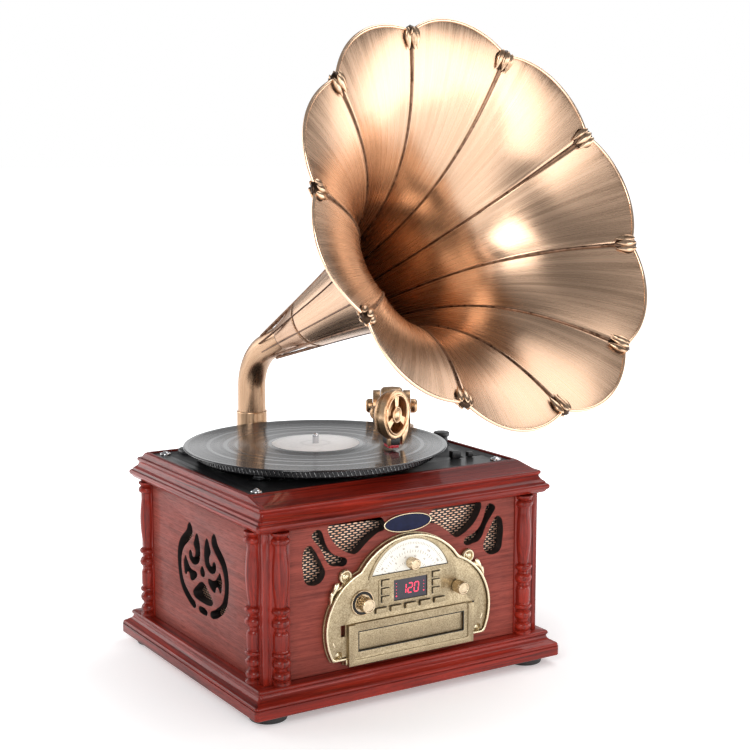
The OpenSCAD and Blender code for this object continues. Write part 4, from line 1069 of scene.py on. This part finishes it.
figures = []
for radius, numbers in ((42.4, (108, 104, 100, 96, 92, 88)), (32.5, (16, 14, 12, 10, 8, 6))):
    for i, number in enumerate(numbers):
        a = 34 + 112 * i / 5
        x, z = radius * math.cos(math.radians(a)), radius * math.sin(math.radians(a))
        figures.append((printed(str(number)),
                        at(x, ink_face, dial_z + z) @ turn(90 - a, "Y") @ turn(90, "X")))
piece("dial_figures", gathered(figures), "cabinet", ink)

# ---- Display ----
# A dark window with three red seven-bar figures and small red dots beside them.
glass = finish("display_glass", (0.012, 0.008, 0.02), rough=0.08, coat_weight=0.5)
mottle(glass, "Base Color", (0.3, (0.006, 0.005, 0.014)), (0.7, (0.02, 0.01, 0.028)), 90)
dress(glass, "display")
lit = finish("lit_red", (0.5, 0.01, 0.03), rough=0.4, emission_strength=1.6,
             emission_color=(1, 0.05, 0.12, 1))
mottle(lit, "Base Color", (0.3, (0.4, 0.01, 0.02)), (0.7, (0.6, 0.02, 0.04)), 500)
display_z = 116.5
bars = {"a": (0, 5.2, 1), "b": (2.6, 2.6, 0), "c": (2.6, -2.6, 0), "d": (0, -5.2, 1),
        "e": (-2.6, -2.6, 0), "f": (-2.6, 2.6, 0), "g": (0, 0, 1)}
glow = []
for x, letters in ((-8, "bc"), (0, "abged"), (8, "abcdef")):
    for letter in letters:
        bx, bz, flat = bars[letter]
        bar = bmesh.new()
        bmesh.ops.create_cone(bar, cap_ends=True, segments=6, radius1=0.62, radius2=0.62,
                              depth=4.1)
        lay = turn(90, "Y") if flat else Matrix()
        glow.append((bar, at(x + bx + bz * 0.1, plate_face - 0.1, display_z + bz) @ lay
                     @ Matrix.Diagonal((1, 0.3, 1, 1))))
for x, z in [(-17.5, 7 - 3.5 * i) for i in range(5)] + [(17.5, 5.2 - 3.5 * i) for i in range(4)]:
    dot = bmesh.new()
    bmesh.ops.create_uvsphere(dot, u_segments=10, v_segments=6, radius=0.8 if z < -5 else 0.4)
    glow.append((dot, at(x, plate_face - 0.05, display_z + z)
                 @ Matrix.Diagonal((1, 0.4, 1, 1))))
piece("display_figures", gathered(glow), "cabinet", lit)

# ---- Knobs ----
# Three turned brass knobs with milled edges. The volume knob stands on a skirt with a dark
# printed ring.
knob_brass = finish("knob_brass", (0.66, 0.52, 0.35), 1.0, 0.2)
tool_lines = cloud(knob_brass, spot(knob_brass), 250, 3)
feed(knob_brass, "Base Color", shades(knob_brass, tool_lines, (0.3, (0.58, 0.45, 0.29)),
                                      (0.7, (0.74, 0.60, 0.42))))
feed(knob_brass, "Roughness", shades(knob_brass, tool_lines, (0.3, 0.16), (0.7, 0.28)))


def milled_knob(radius, height, teeth):
    """A knob with a plain foot, a milled grip and a dished top with a raised edge."""
    line = [(3.2, 0), (radius * 0.9, 0), (radius * 0.9, 1.4), (radius, 2.0),
            (radius, height - 2.4), (radius - 0.4, height - 2.0), (radius - 0.4, height - 0.5),
            (radius - 1.0, height), (radius - 2.0, height), (radius - 2.5, height - 0.7),
            (0, height - 0.5)]
    knob = turned(line, steps=teeth * 6)
    for v in knob.verts:
        if v.co.xy.length > radius - 0.2 and 1.9 < v.co.z < height - 2.3:
            way = math.atan2(v.co.y, v.co.x)
            dip = 1 - 0.085 * (0.5 + 0.5 * math.cos(teeth * way)) ** 2
            v.co.x *= dip
            v.co.y *= dip
    return knob


pair_x, pair_z = 60.5, 109.5
for knob, x, z, radius, height, lift in (("tuning", 0, 144.5, 6.5, 12, 0.6),
                                         ("volume", -pair_x, pair_z, 8, 15, 2.6),
                                         ("function", pair_x, pair_z, 7.2, 15, 0.8)):
    parts = [(milled_knob(radius, height - lift, 16), at(0, 0, lift))]
    if knob == "volume":
        parts += [(ring(13.2, 0.8), at(0, 0, 1.4)), (ring(9.2, 0.6), at(0, 0, 1.6))]
        parts.append((turned([(3.2, 0.6), (14, 0.6), (14, 1.4), (3.2, 1.8)]), Matrix()))
    piece(knob + "_knob_turning", gathered(parts), knob, knob_brass,
          [knob + "_knob"], at(x, plate_face, z) @ turn(90, "X"))
piece("volume_band", turned([(9.8, 1.75), (12.5, 1.62), (12.5, 1.4), (9.8, 1.4)], closed=True),
      "volume", shade_and_print_black,
      place=at(-pair_x, plate_face, pair_z) @ turn(90, "X"))

# ---- Buttons and tray ----
# Eleven cast push buttons and the drawer's front, in the faceplate's brass. The drawer itself
# is plated.
for name in frame["nodes"]:
    if name.startswith("button_"):
        eased_copy(name, 0.6, brass, name + "_cap", 3)
eased_copy("cd_tray", 0.5, brass, "disc_drawer", 2)

# ---- Badge ----
# A plain oval of dark blue enamel in a pale gold rim, with nothing written on it.
enamel = finish("blue_enamel", (0.004, 0.006, 0.03), rough=0.5, specular_ior_level=0.2)
mottle(enamel, "Base Color", (0.3, (0.002, 0.004, 0.025)), (0.7, (0.005, 0.009, 0.045)), 120)
badge_at = at(0, -151.5, 187.2) @ turn(90, "X")
badge_long, badge_high = 29.8, 9.6
disc = turned([(0, 0), (badge_high, 0), (badge_high, 1.5), (6, 1.9), (0, 2.0)], steps=96)
disc.transform(Matrix.Diagonal((badge_long / badge_high, 1, 1, 1)))
piece("badge_enamel", disc, "cabinet", enamel, ["badge"], badge_at)
pale_gold = finish("pale_gold", (0.85, 0.74, 0.5), 1.0, 0.2)
mottle(pale_gold, "Roughness", (0.3, 0.14), (0.7, 0.3), 300)


def badge_rim(u, v):
    a, b = v * math.tau, u * math.tau
    out = 0.75 * math.cos(b)
    return Vector(((badge_long - 0.2 + out) * math.cos(a), (badge_high + out) * math.sin(a),
                   1.5 + 0.8 * math.sin(b)))


piece("badge_rim", shaped(10, 96, badge_rim), "cabinet", pale_gold, place=badge_at)

# ---- Rear panel ----
# A moulded black panel at the back with the line sockets and the mains inlet.
eased_copy("rear_panel", 0.5, plastic, "socket_panel")
